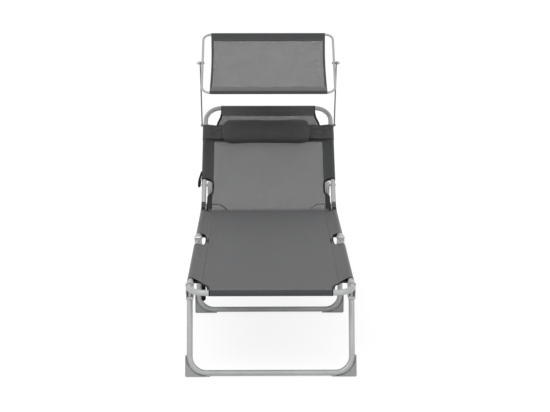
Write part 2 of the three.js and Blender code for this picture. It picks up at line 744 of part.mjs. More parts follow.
// Back panel, in the back section's frame: the hip is at y = 0 and the top cross tube at y = BACK_LENGTH
function backCloth() {
  const webTop = BACK_LENGTH - SLEEVE_INNER - SLEEVE_CLOTH / 2;
  const neckPoint = (side, inward, upward) => [
    side * (WEB_EDGE - inward * (WEB_EDGE - TOP_HEM_HALF_WIDTH)),
    NECK_SLEEVE_END + upward * (webTop - NECK_SLEEVE_END),
  ];
  const neck = (side) => [
    neckPoint(side, 0, 0),
    ...NECK_INWARD_SHARES.map((inward, i) => neckPoint(side, inward, NECK_UPWARD_SHARES[i])),
    neckPoint(side, 1, 1),
  ];
  const outline = polygon([
    [WEB_EDGE, HINGE_SPLIT],
    ...neck(1),
    ...neck(-1).reverse(),
    [-WEB_EDGE, HINGE_SPLIT],
  ]);
  return union(
    cut(
      union(
        flatCloth(outline),
        ...sideHems(HINGE_SPLIT, NECK_SLEEVE_END),
        endHem(TOP_HEM_HALF_WIDTH, webTop - END_HEM, webTop),
      ),
      ...hipNotches(0),
    ),
    ...sides.map(({ side }) =>
      sleeveAlongY(side * BED_HALF_WIDTH, HIP_CUTOUT_AFTER, NECK_SLEEVE_END, SLEEVE_INNER, SLEEVE_OUTER),
    ),
    sleeveAlongX(-TOP_HEM_HALF_WIDTH, TOP_HEM_HALF_WIDTH, BACK_LENGTH, SLEEVE_INNER, SLEEVE_OUTER),
  );
}

// Canopy cloth, in the canopy's frame: the pivots are at y = 0
function canopyCloth() {
  const bar = CANOPY_DEPTH / 2;
  const inner = CANOPY_TUBE_RADIUS + GAP;
  const edge = bar - inner - SLEEVE_CLOTH / 2;
  const width = CANOPY_CLOTH_HALF_WIDTH;
  return union(
    flatCloth(rectangle(-width, width, -edge, edge)),
    endHem(width, -edge, CANOPY_HEM - edge),
    endHem(width, edge - CANOPY_HEM, edge),
    sleeveAlongX(-width, width, -bar, inner, inner + SLEEVE_CLOTH),
    sleeveAlongX(-width, width, bar, inner, inner + SLEEVE_CLOTH),
  );
}

// U frame of an end section, from its open ends at y = open to the cross tube at y = bar
function sectionFrame(open, bar, radius, boresY) {
  const path = new BentPath(
    [
      at(-BED_HALF_WIDTH, open, 0),
      at(-BED_HALF_WIDTH, bar, 0),
      at(BED_HALF_WIDTH, bar, 0),
      at(BED_HALF_WIDTH, open, 0),
    ],
    radius,
    BEND_STEPS,
  );
  const reach = BED_HALF_WIDTH + TUBE_RADIUS + OVERRUN;
  return cut(
    sweep(tubeSection(TUBE_RADIUS, TUBE_WALL, TUBE_SIDES), path),
    ...boresY.map(([y, boreRadius]) => boreAlongX(boreRadius + GAP, -reach, reach, y)),
  );
}

function seatTube(x) {
  const from = FOOT_BLOCK_LENGTH + GAP;
  const to = SEAT_LENGTH - RATCHET_BLOCK_LENGTH - GAP;
  const section = withHole(disc(TUBE_RADIUS, TUBE_SIDES, x), disc(INNER_RADIUS, TUBE_SIDES, x));
  const reach = TUBE_RADIUS + OVERRUN;
  return cut(
    alongY(section, from, to),
    boreAlongX(RIVET_RADIUS + GAP, x - reach, x + reach, MIDDLE_LEG_FROM_HINGE),
  );
}

// A round bar along X between two places given in either order
function span(radius, a, b) {
  return barAlongX(radius, Math.min(a, b), Math.max(a, b));
}

// Rear leg rivet: through the back tube and the leg tube, with a shoulder between them
function rearLegRivet(side) {
  const outer = side * (BED_HALF_WIDTH + TUBE_RADIUS + GAP);
  const inner = side * (REAR_LEG_X - REAR_TUBE_RADIUS - GAP);
  const shoulderOuter = side * (BED_HALF_WIDTH - TUBE_RADIUS - GAP);
  const shoulderInner = side * (REAR_LEG_X + REAR_TUBE_RADIUS + GAP);
  return union(
    pin(PIN_RADIUS, PIN_HEAD_RADIUS, PIN_HEAD, Math.min(inner, outer), Math.max(inner, outer)),
    span(PIN_HEAD_RADIUS, shoulderInner, shoulderOuter),
  );
}

// Arm rod, about its bolt and pointing along +Y, with an eye at each end
function armRod(x) {
  const eye = (y) => barAlongX(ARM_EYE_RADIUS, x - ARM_EYE_HALF_WIDTH, x + ARM_EYE_HALF_WIDTH, y);
  const bore = (y) => boreAlongX(BOLT_RADIUS + GAP, x - ARM_RADIUS - OVERRUN, x + ARM_RADIUS + OVERRUN, y);
  const start = ARM_EYE_RADIUS - OVERRUN;
  return cut(
    union(alongY(disc(ARM_RADIUS, CANOPY_TUBE_SIDES, x), start, ARM_LENGTH - start), eye(0), eye(ARM_LENGTH)),
    bore(0),
    bore(ARM_LENGTH),
  );
}

// Bolt through the back tube, with a shoulder between tube and arm and a cap nut outside
function armBolt(side) {
  const head = side * (BED_HALF_WIDTH - TUBE_RADIUS - GAP);
  const shoulder = [side * (BED_HALF_WIDTH + TUBE_RADIUS + GAP), side * (ARM_EYE_INNER - GAP)];
  const nut = [side * (ARM_EYE_OUTER + GAP), side * (ARM_EYE_OUTER + GAP + BOLT_HEAD)];
  return union(
    span(BOLT_RADIUS, head, nut[1]),
    span(BOLT_HEAD_RADIUS, head - side * BOLT_HEAD, head),
    span(BOLT_HEAD_RADIUS, ...shoulder),
    span(BOLT_HEAD_RADIUS, ...nut),
  );
}

// Bolt through the canopy tube and the arm's upper eye, on which the wing nut turns
function canopyBolt(side) {
  const head = side * (CANOPY_HALF_WIDTH - CANOPY_TUBE_RADIUS - GAP);
  const shoulder = [side * (CANOPY_HALF_WIDTH + CANOPY_TUBE_RADIUS + GAP), side * (ARM_EYE_INNER - GAP)];
  const end = side * (ARM_EYE_OUTER + NUT_THICKNESS + CANOPY_BOLT_TAIL);
  return union(
    span(BOLT_RADIUS, head, end),
    span(BOLT_HEAD_RADIUS, head - side * BOLT_HEAD, head),
    span(BOLT_HEAD_RADIUS, ...shoulder),
  );
}

function wingNut(side) {
  const inner = side * (ARM_EYE_OUTER + GAP);
  const outer = inner + side * NUT_THICKNESS;
  const low = Math.min(inner, outer);
  const high = Math.max(inner, outer);
  const wing = (turn) =>
    alongX(
      polygon([
        [0, -WING_HALF_THICKNESS],
        [turn * WING_SPAN, -WING_HALF_THICKNESS],
        [turn * WING_SPAN, WING_HALF_THICKNESS],
        [0, WING_HALF_THICKNESS],
      ]),
      side > 0 ? low : high - WING_HEIGHT,
      side > 0 ? low + WING_HEIGHT : high,
    );
  return cut(
    union(barAlongX(NUT_RADIUS, low, high), wing(-1), wing(1)),
    boreAlongX(BOLT_RADIUS + GAP, low - OVERRUN, high + OVERRUN),
  );
}

function canopyFrame() {
  const bar = CANOPY_DEPTH / 2;
  const width = CANOPY_HALF_WIDTH;
  const joint = CANOPY_JOINT_GAP / 2;
  const path = new BentPath(
    [
      at(joint, bar, 0),
      at(width, bar, 0),
      at(width, -bar, 0),
      at(-width, -bar, 0),
      at(-width, bar, 0),
      at(-joint, bar, 0),
    ],
    CANOPY_BEND_RADIUS,
    BEND_STEPS - 1,
  );
  const reach = width + CANOPY_TUBE_RADIUS + OVERRUN;
  return cut(
    sweep(tubeSection(CANOPY_TUBE_RADIUS, CANOPY_TUBE_WALL, CANOPY_TUBE_SIDES), path),
    boreAlongX(BOLT_RADIUS + GAP, -reach, reach),
  );
}

// Plug inside the canopy tube, across its joint
const CANOPY_BORE = (CANOPY_TUBE_RADIUS - CANOPY_TUBE_WALL) * Math.cos(Math.PI / CANOPY_TUBE_SIDES);

function canopyPlug() {
  return alongX(
    disc(CANOPY_BORE - GAP, PIN_SIDES, CANOPY_DEPTH / 2),
    -CANOPY_PLUG_LENGTH / 2,
    CANOPY_PLUG_LENGTH / 2,
  );
}

// Band round the back section: a flat loop, round at both side tubes
const BAND_INNER = (SLEEVE_OUTER + GAP) / Math.cos(Math.PI / (2 * BAND_STEPS));
const BAND_OUTER = BAND_INNER + BAND_CLOTH;

function bandOutline(radius) {
  const shape = new THREE.Shape();
  shape.absarc(BED_HALF_WIDTH, 0, radius, -Math.PI / 2, Math.PI / 2, false);
  shape.absarc(-BED_HALF_WIDTH, 0, radius, Math.PI / 2, (3 * Math.PI) / 2, false);
  return shape;
}

function pillowBand() {
  const loop = withHole(bandOutline(BAND_OUTER), bandOutline(BAND_INNER));
  return alongY(loop, BAND_START, BAND_START + BAND_WIDTH, BAND_STEPS);
}

// The pillow is a sphere whose points are drawn out to a squared bolster with round edges, lying on the band
function pillow() {
  const ball = new THREE.SphereGeometry(1, PILLOW_SLICES, PILLOW_RINGS).rotateZ(Math.PI / 2);
  const positions = ball.attributes.position;
  const swell = (value, share) => Math.sign(value) * Math.abs(value) ** share;
  const base = BAND_OUTER + GAP;
  const middleY = BAND_START + BAND_WIDTH / 2 - PILLOW_DROP;
  for (let i = 0; i < positions.count; i += 1) {
    const along = Math.max(-1, Math.min(1, positions.getX(i)));
    const around = Math.atan2(positions.getZ(i), positions.getY(i));
    const girth = Math.sqrt(Math.max(0, 1 - along * along)) ** PILLOW_OUTLINE_SHARE;
    const x = PILLOW_OFF_MIDDLE + (PILLOW_LENGTH / 2) * swell(along, PILLOW_OUTLINE_SHARE);
    const y = (PILLOW_HEIGHT / 2) * girth * swell(Math.cos(around), PILLOW_SECTION_SHARE);
    const high = (PILLOW_THICKNESS - PILLOW_LIFT) * girth * swell(Math.sin(around), PILLOW_SECTION_SHARE);
    const low = PILLOW_LIFT * girth * swell(Math.sin(around), PILLOW_SECTION_SHARE);
    positions.setXYZ(i, x, middleY + y, base + PILLOW_LIFT + (around > 0 ? high : low));
  }
  return solid(ball);
}

// Tie strap: sewn under the foot cloth by a short tab, then hanging down
function tieStrap() {
  const top = -HEM_CLOTH / 2 - GAP;
  const y = -TIE_FROM_HINGE;
  const outline = polygon([
    [y, top],
    [y + TIE_TAB, top],
    [y + TIE_TAB, top - TIE_THICKNESS],
    [y + TIE_THICKNESS, top - TIE_THICKNESS],
    [y + TIE_THICKNESS, top - TIE_LENGTH],
    [y, top - TIE_LENGTH],
  ]);
  return alongX(outline, -TIE_FROM_MIDDLE - TIE_WIDTH / 2, -TIE_FROM_MIDDLE + TIE_WIDTH / 2);
}

// Webbing loop outside the left back tube, drawn in the plane of the back
function hipLoop() {
  const edge = -BED_HALF_WIDTH - SLEEVE_OUTER - GAP;
  const outer = LOOP_REACH_SHARES.map((share, i) => [
    edge - share * LOOP_REACH,
    LOOP_START + LOOP_HEIGHT_SHARES[i] * LOOP_HEIGHT,
  ]);
  const centre = [
    edge - LOOP_REACH * LOOP_CENTRE_REACH_SHARE,
    LOOP_START + LOOP_HEIGHT * LOOP_CENTRE_HEIGHT_SHARE,
  ];
  const inward = (point) => {
    const away = new THREE.Vector2(point[0] - centre[0], point[1] - centre[1]);
    const distance = away.length();
    away.multiplyScalar((distance - LOOP_THICKNESS) / distance);
    return [centre[0] + away.x, centre[1] + away.y];
  };
  const outline = withHole(polygon(outer), polygon(outer.map(inward)));
  return alongZ(outline, -LOOP_WIDTH / 2, LOOP_WIDTH / 2);
}

// Assembly
function group(position, rotationX, ...children) {
  const node = new THREE.Group();
  node.position.copy(position);
  node.rotation.x = rotationX;
  node.add(...children);
  return node;
}

const bothSides = (make) => sides.flatMap(({ side, hand }) => make(side, hand));

function leg(name, drop, halfWidth, radius, rake, boreX) {
  const length = legLength(drop, radius, rake);
  return [
    piece(`${name}_tube`, legTube(halfWidth, radius, length, boreX), framePaint()),
    ...bothSides((side, hand) => [
      piece(`${name}_shoe_${hand}`, legShoe(side, halfWidth, radius, length, rake), shoePlastic()),
    ]),
  ];
}

// The tubes of the foot section lie below its hinge pins
const footLevel = at(0, 0, -FOOT_HINGE_RISE);
const frontBracket = FRONT_LEG_FROM_END - FOOT_LENGTH;
const legBore = BED_HALF_WIDTH + TUBE_RADIUS + OVERRUN;
const footSection = group(
  at(0, HINGE_Y, BED_HEIGHT + FOOT_HINGE_RISE),
  0,
  group(
    footLevel,
    0,
    piece(
      'foot_frame',
      sectionFrame(-FOOT_BLOCK_LENGTH - GAP, -FOOT_LENGTH, FOOT_CORNER_RADIUS, [
        [frontBracket, RIVET_RADIUS],
      ]),
      framePaint(),
    ),
    piece('foot_cloth', footCloth(), meshCloth()),
    piece('tie_strap', tieStrap(), webbing()),
    ...bothSides((side, hand) =>
      group(
        at(side * BED_HALF_WIDTH, frontBracket, 0),
        0,
        piece(`front_leg_bracket_${hand}`, legBracket(FRONT_LEG_RAKE), framePaint()),
        piece(`front_bracket_rivet_${hand}`, bracketRivet(), steel()),
        group(at(0, 0, -LEG_PIVOT_DROP), 0, piece(`front_leg_pin_${hand}`, legPin(), steel())),
      ),
    ),
    group(
      at(0, frontBracket, -LEG_PIVOT_DROP),
      -FRONT_LEG_RAKE,
      ...leg('front_leg', LEG_DROP, BED_HALF_WIDTH, TUBE_RADIUS, FRONT_LEG_RAKE, legBore),
    ),
  ),
  ...bothSides((side, hand) => [
    piece(`foot_hinge_tongue_${hand}`, footHingeTongue(side * BED_HALF_WIDTH), steel()),
  ]),
);

const footPinReach = FOOT_HINGE_HALF_WIDTH + GAP;
const hipPinReach = RATCHET_HALF_WIDTH + GAP;
const seatSection = group(
  at(0, HINGE_Y, BED_HEIGHT),
  0,
  ...bothSides((side, hand) => [piece(`seat_tube_${hand}`, seatTube(side * BED_HALF_WIDTH), framePaint())]),
  piece('seat_cloth', seatCloth(), meshCloth()),
  ...bothSides((side, hand) =>
    group(
      at(side * BED_HALF_WIDTH, MIDDLE_LEG_FROM_HINGE, 0),
      0,
      piece(`middle_leg_bracket_${hand}`, legBracket(MIDDLE_LEG_RAKE), framePaint()),
      piece(`middle_bracket_rivet_${hand}`, bracketRivet(), steel()),
      group(at(0, 0, -LEG_PIVOT_DROP), 0, piece(`middle_leg_pin_${hand}`, legPin(), steel())),
    ),
  ),
  group(
    at(0, MIDDLE_LEG_FROM_HINGE, -LEG_PIVOT_DROP),
    -MIDDLE_LEG_RAKE,
    ...leg('middle_leg', LEG_DROP, BED_HALF_WIDTH, TUBE_RADIUS, MIDDLE_LEG_RAKE, legBore),
  ),
  group(
    at(0, 0, FOOT_HINGE_RISE),
    0,
    ...bothSides((side, hand) => {
      const x = side * BED_HALF_WIDTH;
      return [
        piece(`foot_hinge_fork_${hand}`, footHingeFork(x), steel()),
        piece(
          `foot_hinge_pin_${hand}`,
          pin(PIN_RADIUS, PIN_HEAD_RADIUS, PIN_HEAD, x - footPinReach, x + footPinReach),
          steel(),
        ),
      ];
    }),
  ),
  group(
    at(0, SEAT_LENGTH, 0),
    0,
    ...bothSides((side, hand) => {
      const x = side * BED_HALF_WIDTH;
      return [
        piece(`ratchet_housing_${hand}`, ratchetHousing(x), steel()),
        piece(
          `hip_pin_${hand}`,
          pin(HIP_PIN_RADIUS, HIP_PIN_HEAD_RADIUS, PIN_HEAD, x - hipPinReach, x + hipPinReach),
          steel(),
        ),
        group(at(0, -PAWL_REACH, PAWL_RISE), 0, piece(`ratchet_pawl_${hand}`, pawl(x), steel())),
      ];
    }),
  ),
);

const rearPivotHeight = BED_HEIGHT + REAR_LEG_FROM_HIP * Math.sin(BACK_ANGLE);
const rearLegBore = REAR_LEG_X + REAR_TUBE_RADIUS + OVERRUN;
const canopyLean = CANOPY_TILT - BACK_ANGLE;
const canopyPivot = at(0, ARM_LENGTH * Math.cos(ARM_LEAN), ARM_LENGTH * Math.sin(ARM_LEAN));
const backSection = group(
  at(0, HIP_Y, BED_HEIGHT),
  BACK_ANGLE,
  piece(
    'back_frame',
    sectionFrame(RATCHET_BLOCK_LENGTH + GAP, BACK_LENGTH, BACK_CORNER_RADIUS, [
      [REAR_LEG_FROM_HIP, PIN_RADIUS],
      [ARM_FROM_HIP, BOLT_RADIUS],
    ]),
    framePaint(),
  ),
  piece('back_cloth', backCloth(), meshCloth()),
  piece('hip_loop', hipLoop(), webbing()),
  piece('pillow', pillow(), pillowCloth()),
  piece('pillow_band', pillowBand(), pillowCloth()),
  ...bothSides((side, hand) => [piece(`ratchet_gear_${hand}`, ratchetGear(side * BED_HALF_WIDTH), steel())]),
  group(
    at(0, REAR_LEG_FROM_HIP, 0),
    0,
    ...bothSides((side, hand) => [piece(`rear_leg_rivet_${hand}`, rearLegRivet(side), steel())]),
    group(
      at(0, 0, 0),
      -BACK_ANGLE - REAR_LEG_RAKE,
      ...leg('rear_leg', rearPivotHeight, REAR_LEG_X, REAR_TUBE_RADIUS, REAR_LEG_RAKE, rearLegBore),
    ),
  ),
  group(
    at(0, ARM_FROM_HIP, 0),
    0,
    ...bothSides((side, hand) => [
      piece(`arm_bolt_${hand}`, armBolt(side), steel()),
      group(at(0, 0, 0), ARM_LEAN, piece(`canopy_arm_${hand}`, armRod(side * ARM_PLANE), steel())),
    ]),
    group(
      canopyPivot,
      canopyLean,
      piece('canopy_frame', canopyFrame(), framePaint()),
      piece('canopy_joint_plug', canopyPlug(), steel()),
      piece('canopy_cloth', canopyCloth(), meshCloth()),
      ...bothSides((side, hand) => [
        piece(`canopy_bolt_${hand}`, canopyBolt(side), steel()),
        piece(`wing_nut_${hand}`, wingNut(side), steel()),
      ]),
    ),
  ),
);

// The origin is on the floor, in the middle of the lounger's outline
const lounger = new THREE.Group();
lounger.add(footSection, seatSection, backSection);
lounger.updateMatrixWorld(true);
const extent = new THREE.Box3().setFromObject(lounger, true);
const middle = extent.getCenter(at(0, 0, 0));
lounger.position.set(-middle.x, -middle.y, -extent.min.z);

export default lounger;
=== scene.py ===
"""Looks of a folding sun lounger with a small canopy: mesh cloth on painted steel tubes, moulded corner
shoes, a head pillow on its band and black webbing. Metres, Z up, the foot end towards -Y."""

import json
import math

import bmesh
import bpy
import numpy as np
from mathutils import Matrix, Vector


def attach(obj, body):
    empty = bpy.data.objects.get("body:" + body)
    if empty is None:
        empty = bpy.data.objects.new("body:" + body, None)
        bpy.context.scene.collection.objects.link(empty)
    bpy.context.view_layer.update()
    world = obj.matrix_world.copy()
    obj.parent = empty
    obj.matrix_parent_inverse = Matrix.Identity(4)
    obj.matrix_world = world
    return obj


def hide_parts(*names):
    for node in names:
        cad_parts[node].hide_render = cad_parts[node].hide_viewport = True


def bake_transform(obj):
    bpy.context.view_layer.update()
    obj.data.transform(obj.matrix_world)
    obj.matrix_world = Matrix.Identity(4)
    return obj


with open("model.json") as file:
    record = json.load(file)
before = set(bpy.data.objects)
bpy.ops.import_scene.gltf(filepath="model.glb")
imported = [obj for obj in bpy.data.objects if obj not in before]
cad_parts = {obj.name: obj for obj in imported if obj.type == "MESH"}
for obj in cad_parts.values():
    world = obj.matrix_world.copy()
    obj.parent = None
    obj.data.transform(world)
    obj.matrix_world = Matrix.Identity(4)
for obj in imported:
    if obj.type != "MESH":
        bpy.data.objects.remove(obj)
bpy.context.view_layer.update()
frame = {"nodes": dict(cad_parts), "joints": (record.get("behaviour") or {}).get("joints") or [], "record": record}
scene = bpy.context.scene
joint = {j["name"]: np.array(j["pos_m"], float) for j in frame["joints"]}

# Sizes of the frame that the pieces are fitted to
HALF_WIDTH = 0.275  # middle of the bed to the axis of a side tube
BED_HEIGHT = 0.300
FOOT_LENGTH = 0.736
HIP_AT = 1.291
BACK_LENGTH = 0.550
LEAN = math.radians(43)
TUBE = 0.010  # radius
FOOT_END, SEAT_END, HIP_END = 0.026, 0.0263, 0.0363  # from a hinge's pin to the end of a tube
LEG_DROP, REAR_PIN = 0.273, 0.130  # from the pins to the floor, and up the back to the rear pins
CANOPY_TILT = math.radians(38.2)
CANOPY_BAR = 0.1755  # from the canopy's pivots to the axis of its front or rear bar
HIP = joint["back_recline"]
FRONT_Y = HIP[1] - HIP_AT
ACROSS = np.array([1.0, 0, 0])
HAND = ((-1, "left"), (1, "right"))


# Surfaces


def leaning(angle):
    """The way up a slope, and the way out of its face."""
    return np.array([0, math.cos(angle), math.sin(angle)]), np.array([0, -math.sin(angle), math.cos(angle)])


def space(origin, way, face):
    """The points of a flat part: origin + x·across + t·way + n·face."""

    def at(x, t, n=0.0):
        x, t, n = np.broadcast_arrays(np.asarray(x, float), t, n)
        return origin + x[..., None] * ACROSS + t[..., None] * way + n[..., None] * face

    return at


# The bed from its front cross tube, the back from the hip, and the canopy from its pivots
ALONG, FACE = leaning(LEAN)
on_bed = space(np.array([0, FRONT_Y, BED_HEIGHT]), *leaning(0.0))
on_back = space(HIP, ALONG, FACE)
on_canopy = space(joint["canopy_tilt"], *leaning(CANOPY_TILT))


def grid(points, wrap=False, uv=None, turn=False):
    """Quads between neighbouring rows and columns of an array of points. With wrap, the last column meets
    the first. uv holds one pair per point, and one more column where the surface wraps."""
    rows, cols = points.shape[:2]
    i = np.arange(rows - 1)[:, None]
    j = np.arange(cols if wrap else cols - 1)[None, :]
    k = (j + 1) % cols
    quads = np.stack([i * cols + j, i * cols + k, (i + 1) * cols + k, (i + 1) * cols + j], -1).reshape(-1, 4)
    if uv is None:
        uv = np.zeros((rows, cols + int(wrap), 2))
    corners = np.stack([uv[:-1, :-1], uv[:-1, 1:], uv[1:, 1:], uv[1:, :-1]], 2).reshape(-1, 4, 2)
    if turn:
        quads, corners = quads[:, ::-1], corners[:, ::-1]
    return points.reshape(-1, 3), quads, corners


def closed(points, uv=None):
    """A wrapped grid whose ends are closed, each by triangles round the end's middle."""
    cols = points.shape[1]
    j = np.arange(cols)
    tris = np.stack([(j + 1) % cols, j, np.full(cols, cols)], -1)
    ends = [
        (np.vstack([points[row], points[row].mean(0)]), tris[:, ::way], np.zeros((cols, 3, 2)))
        for row, way in ((0, 1), (-1, -1))
    ]
    return [grid(points, wrap=True, uv=uv), *ends]


def pairs(u, v):
    """One (u, v) pair per point, from arrays that spread over each other."""
    return np.stack(np.broadcast_arrays(u, v), -1)


def piece(name, parts, material):
    """One mesh object from (points, faces, corner uv) parts, in metres, at the origin."""
    points, faces, corners, start = [], [], [], 0
    for p, f, c in parts:
        points.append(p)
        faces.extend((f + start).tolist())
        corners.append(c.reshape(-1, 2))
        start += len(p)
    mesh = bpy.data.meshes.new(name)
    mesh.from_pydata(np.concatenate(points).tolist(), [], faces)
    layer = mesh.uv_layers.new(name="UVMap")
    layer.data.foreach_set("uv", np.concatenate(corners).astype(np.float32).ravel())
    mesh.polygons.foreach_set("use_smooth", np.ones(len(faces), bool))
    mesh.materials.append(material)
    mesh.update()
    made = bpy.data.objects.new(name, mesh)
    scene.collection.objects.link(made)
    return made


def solid(name, parts, material):
    """A closed piece, with its faces turned outwards."""
    made = piece(name, parts, material)
    shape = bmesh.new()
    shape.from_mesh(made.data)
    bmesh.ops.remove_doubles(shape, verts=shape.verts, dist=1e-6)
    bmesh.ops.recalc_face_normals(shape, faces=shape.faces)
    shape.to_mesh(made.data)
    shape.free()
    return made


def cloth_piece(name, shape, material, thickness, offset=0.0):
    """A surface given its thickness."""
    made = piece(name, [shape], material)
    wall = made.modifiers.new("Cloth thickness", "SOLIDIFY")
    wall.thickness = thickness
    wall.offset = offset
    wall.use_even_offset = True
    wall.use_quality_normals = True
    return made


def fitted(made, body, slot, *nodes):
    """Rides a piece on its body and hides the nodes that it stands for. Its slot is not used."""
    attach(made, body)
    if nodes:
        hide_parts(*nodes)
    return made


def soften(made, width, angle):
    edge = made.modifiers.new("Soft edges", "BEVEL")
    edge.width = width
    edge.segments = 2
    edge.limit_method = "ANGLE"
    edge.angle_limit = math.radians(angle)
    return made


def full_turn(count):
    """Angles evenly round a circle."""
    return np.arange(count) * 2 * math.pi / count


def bent(corners, radius, steps=12):
    """Stations of straight runs with round bends: in a bend, centre - r·inward·cos a + r·into·sin a."""
    corners = [np.array(c, float) for c in corners]
    unit = lambda v: v / np.linalg.norm(v)
    points, tangents = [corners[0]], [unit(corners[1] - corners[0])]
    for before, corner, after in zip(corners, corners[1:], corners[2:]):
        into, out = unit(corner - before), unit(after - corner)
        turn = math.acos(np.clip(into @ out, -1, 1))
        start = corner - into * radius * math.tan(turn / 2)
        inward = unit(out - into * math.cos(turn))
        centre = start + inward * radius
        a = np.linspace(0, turn, steps + 1)[:, None]
        points.extend(centre - inward * radius * np.cos(a) + into * radius * np.sin(a))
        tangents.extend(into * np.cos(a) + inward * np.sin(a))
    points.append(corners[-1])
    tangents.append(unit(corners[-1] - corners[-2]))
    return np.array(points), np.array(tangents)


def carried(path, tangents, square, section):
    """A flat section (a, b) carried along a flat path: path + a·square + b·(square × tangent). The path
    lies in the plane that is square to the unit vector square."""
    beside = np.cross(square, tangents)
    return path[:, None] + section[None, :, :1] * square + section[None, :, 1:] * beside[:, None]


def lengths(path):
    """Distance along a path at each of its points."""
    return np.concatenate([[0], np.cumsum(np.linalg.norm(np.diff(path, axis=0), axis=1))])


def powered(q, exponent):
    """A power that keeps the sign, for squared rounds."""
    return np.sign(q) * np.abs(q) ** exponent


def tube(corners, bend, square, radius, count=20, steps=12, ends=0.0012):
    """A round tube along a bent path, its section (r·cos a, r·sin a). Each end is drawn in over a small
    round edge and closed."""
    path, tangents = bent(corners, bend, steps)
    a = full_turn(count)
    section = pairs(radius * np.cos(a), radius * np.sin(a))
    body = carried(path, tangents, np.array(square, float), section)
    a = np.radians([35, 65, 90])[:, None, None]
    rows = [body]
    for end, sign in ((0, -1), (-1, 1)):
        middle, off = path[end], sign * tangents[end]
        share = 1 - (1 - np.cos(a)) * ends / radius
        cap = middle + (body[end] - middle) * share + off * ends * np.sin(a)
        rows = [cap[::-1], *rows] if end == 0 else [*rows, cap]
    body = np.concatenate(rows)
    around = np.linspace(0, 2 * math.pi * radius, count + 1)
    return closed(body, pairs(around, lengths(body.mean(1))[:, None]))


def smooth_line(points, steps=8):
    """A curve through points: each span is the cubic with the slopes of its neighbours' chords."""
    p = np.array(points, float)
    m = np.gradient(p, axis=0)
    t = np.linspace(0, 1, steps, endpoint=False)[:, None]
    h = [2 * t**3 - 3 * t**2 + 1, t**3 - 2 * t**2 + t, -2 * t**3 + 3 * t**2, t**3 - t**2]
    spans = [h[0] * a + h[1] * u + h[2] * b + h[3] * v for a, u, b, v in zip(p, m, p[1:], m[1:])]
    return np.vstack([*spans, p[-1:]])


# Materials


def give(tree, slot, value):
    """Sets an input to a value, or links it to a socket."""
    if isinstance(value, (int, float, tuple)):
        slot.default_value = value
    else:
        tree.links.new(value, slot)


def feed(tree, made, **inputs):
    """Gives a node its inputs by their names. Gives back its outputs."""
    for title, value in inputs.items():
        give(tree, made.inputs[title.replace("_", " ")], value)
    return made.outputs


def maths(tree, operation, *values, clamp=False):
    made = tree.nodes.new("ShaderNodeMath")
    made.operation = operation
    made.use_clamp = clamp
    for slot, value in zip(made.inputs, values):
        give(tree, slot, value)
    return made.outputs[0]


def node(tree, kind, **inputs):
    return feed(tree, tree.nodes.new(kind), **inputs)


def effect(tree, shared, **inputs):
    """A shared node group in a material's tree, with its own values."""
    made = tree.nodes.new("ShaderNodeGroup")
    made.node_tree = shared
    return feed(tree, made, **inputs)


def group(name, inputs, outputs):
    """An empty node group. An input without a usual value is a vector, and all else are numbers."""
    tree = bpy.data.node_groups.new(name, "ShaderNodeTree")
    for title, value in inputs.items():
        kind = "NodeSocketVector" if value is None else "NodeSocketFloat"
        socket = tree.interface.new_socket(name=title, in_out="INPUT", socket_type=kind)
        if value is not None:
            socket.default_value = value
    for title in outputs:
        tree.interface.new_socket(name=title, in_out="OUTPUT", socket_type="NodeSocketFloat")
    return tree, node(tree, "NodeGroupInput"), tree.nodes.new("NodeGroupOutput")


def noise(tree, vector, scale, detail):
    return node(tree, "ShaderNodeTexNoise", Vector=vector, Scale=scale, Detail=detail, Roughness=0.55)["Fac"]


def between(tree, value, low, high, to_low, to_high):
    span = {"From_Min": low, "From_Max": high, "To_Min": to_low, "To_Max": to_high}
    return node(tree, "ShaderNodeMapRange", Value=value, **span)["Result"]


def mixed(tree, share, a, b, kind="MIX"):
    made = tree.nodes.new("ShaderNodeMix")
    made.data_type = "RGBA"
    made.blend_type = kind
    for place, value in ((0, share), (6, a), (7, b)):
        give(tree, made.inputs[place], (*value, 1) if isinstance(value, tuple) else value)
    return made.outputs[2]


def yarn_weave():
    """Plain weave on a UV map in metres: yarn heights are the cosine of the distance across each yarn, lifted
    and lowered in turn, and the openings are where neither yarn covers."""
    inputs = {"UV": None, "Pitch": 0.0012, "Yarn share": 0.6}
    tree, into, out = group("Coated yarn weave", inputs, ("Cover", "Height", "Streaks"))
    split = node(tree, "ShaderNodeSeparateXYZ", Vector=into["UV"])
    u = maths(tree, "DIVIDE", split[0], into["Pitch"])
    v = maths(tree, "DIVIDE", split[1], into["Pitch"])
    half = maths(tree, "MULTIPLY", into["Yarn share"], 0.5)
    heights, covers = [], []
    for run, other, start in ((u, v, 0.0), (v, u, 1.0)):
        off = maths(tree, "ABSOLUTE", maths(tree, "SUBTRACT", maths(tree, "FRACT", run), 0.5))
        covers.append(maths(tree, "LESS_THAN", off, half))
        square = maths(tree, "POWER", maths(tree, "DIVIDE", off, half), 2.0)
        round_top = maths(tree, "SQRT", maths(tree, "SUBTRACT", 1.0, square, clamp=True))
        cell = maths(tree, "ADD", maths(tree, "FLOOR", run), start)
        wave = maths(tree, "COSINE", maths(tree, "MULTIPLY", maths(tree, "ADD", other, cell), math.pi))
        lift = maths(tree, "ADD", maths(tree, "MULTIPLY", wave, 0.35), 0.5)
        heights.append(maths(tree, "MULTIPLY", round_top, lift))
    streaks = []
    for size, squeeze, share in ((420, 0.012, 0.6), (70, 0.05, 0.4)):
        long = node(tree, "ShaderNodeMapping", Vector=into["UV"], Scale=(1.0, squeeze, 1.0))["Vector"]
        streaks.append(maths(tree, "MULTIPLY", noise(tree, long, size, 2), share))
    cover, height = (maths(tree, "MAXIMUM", *both) for both in (covers, heights))
    feed(tree, out, Cover=cover, Height=height, Streaks=maths(tree, "ADD", *streaks))
    return tree


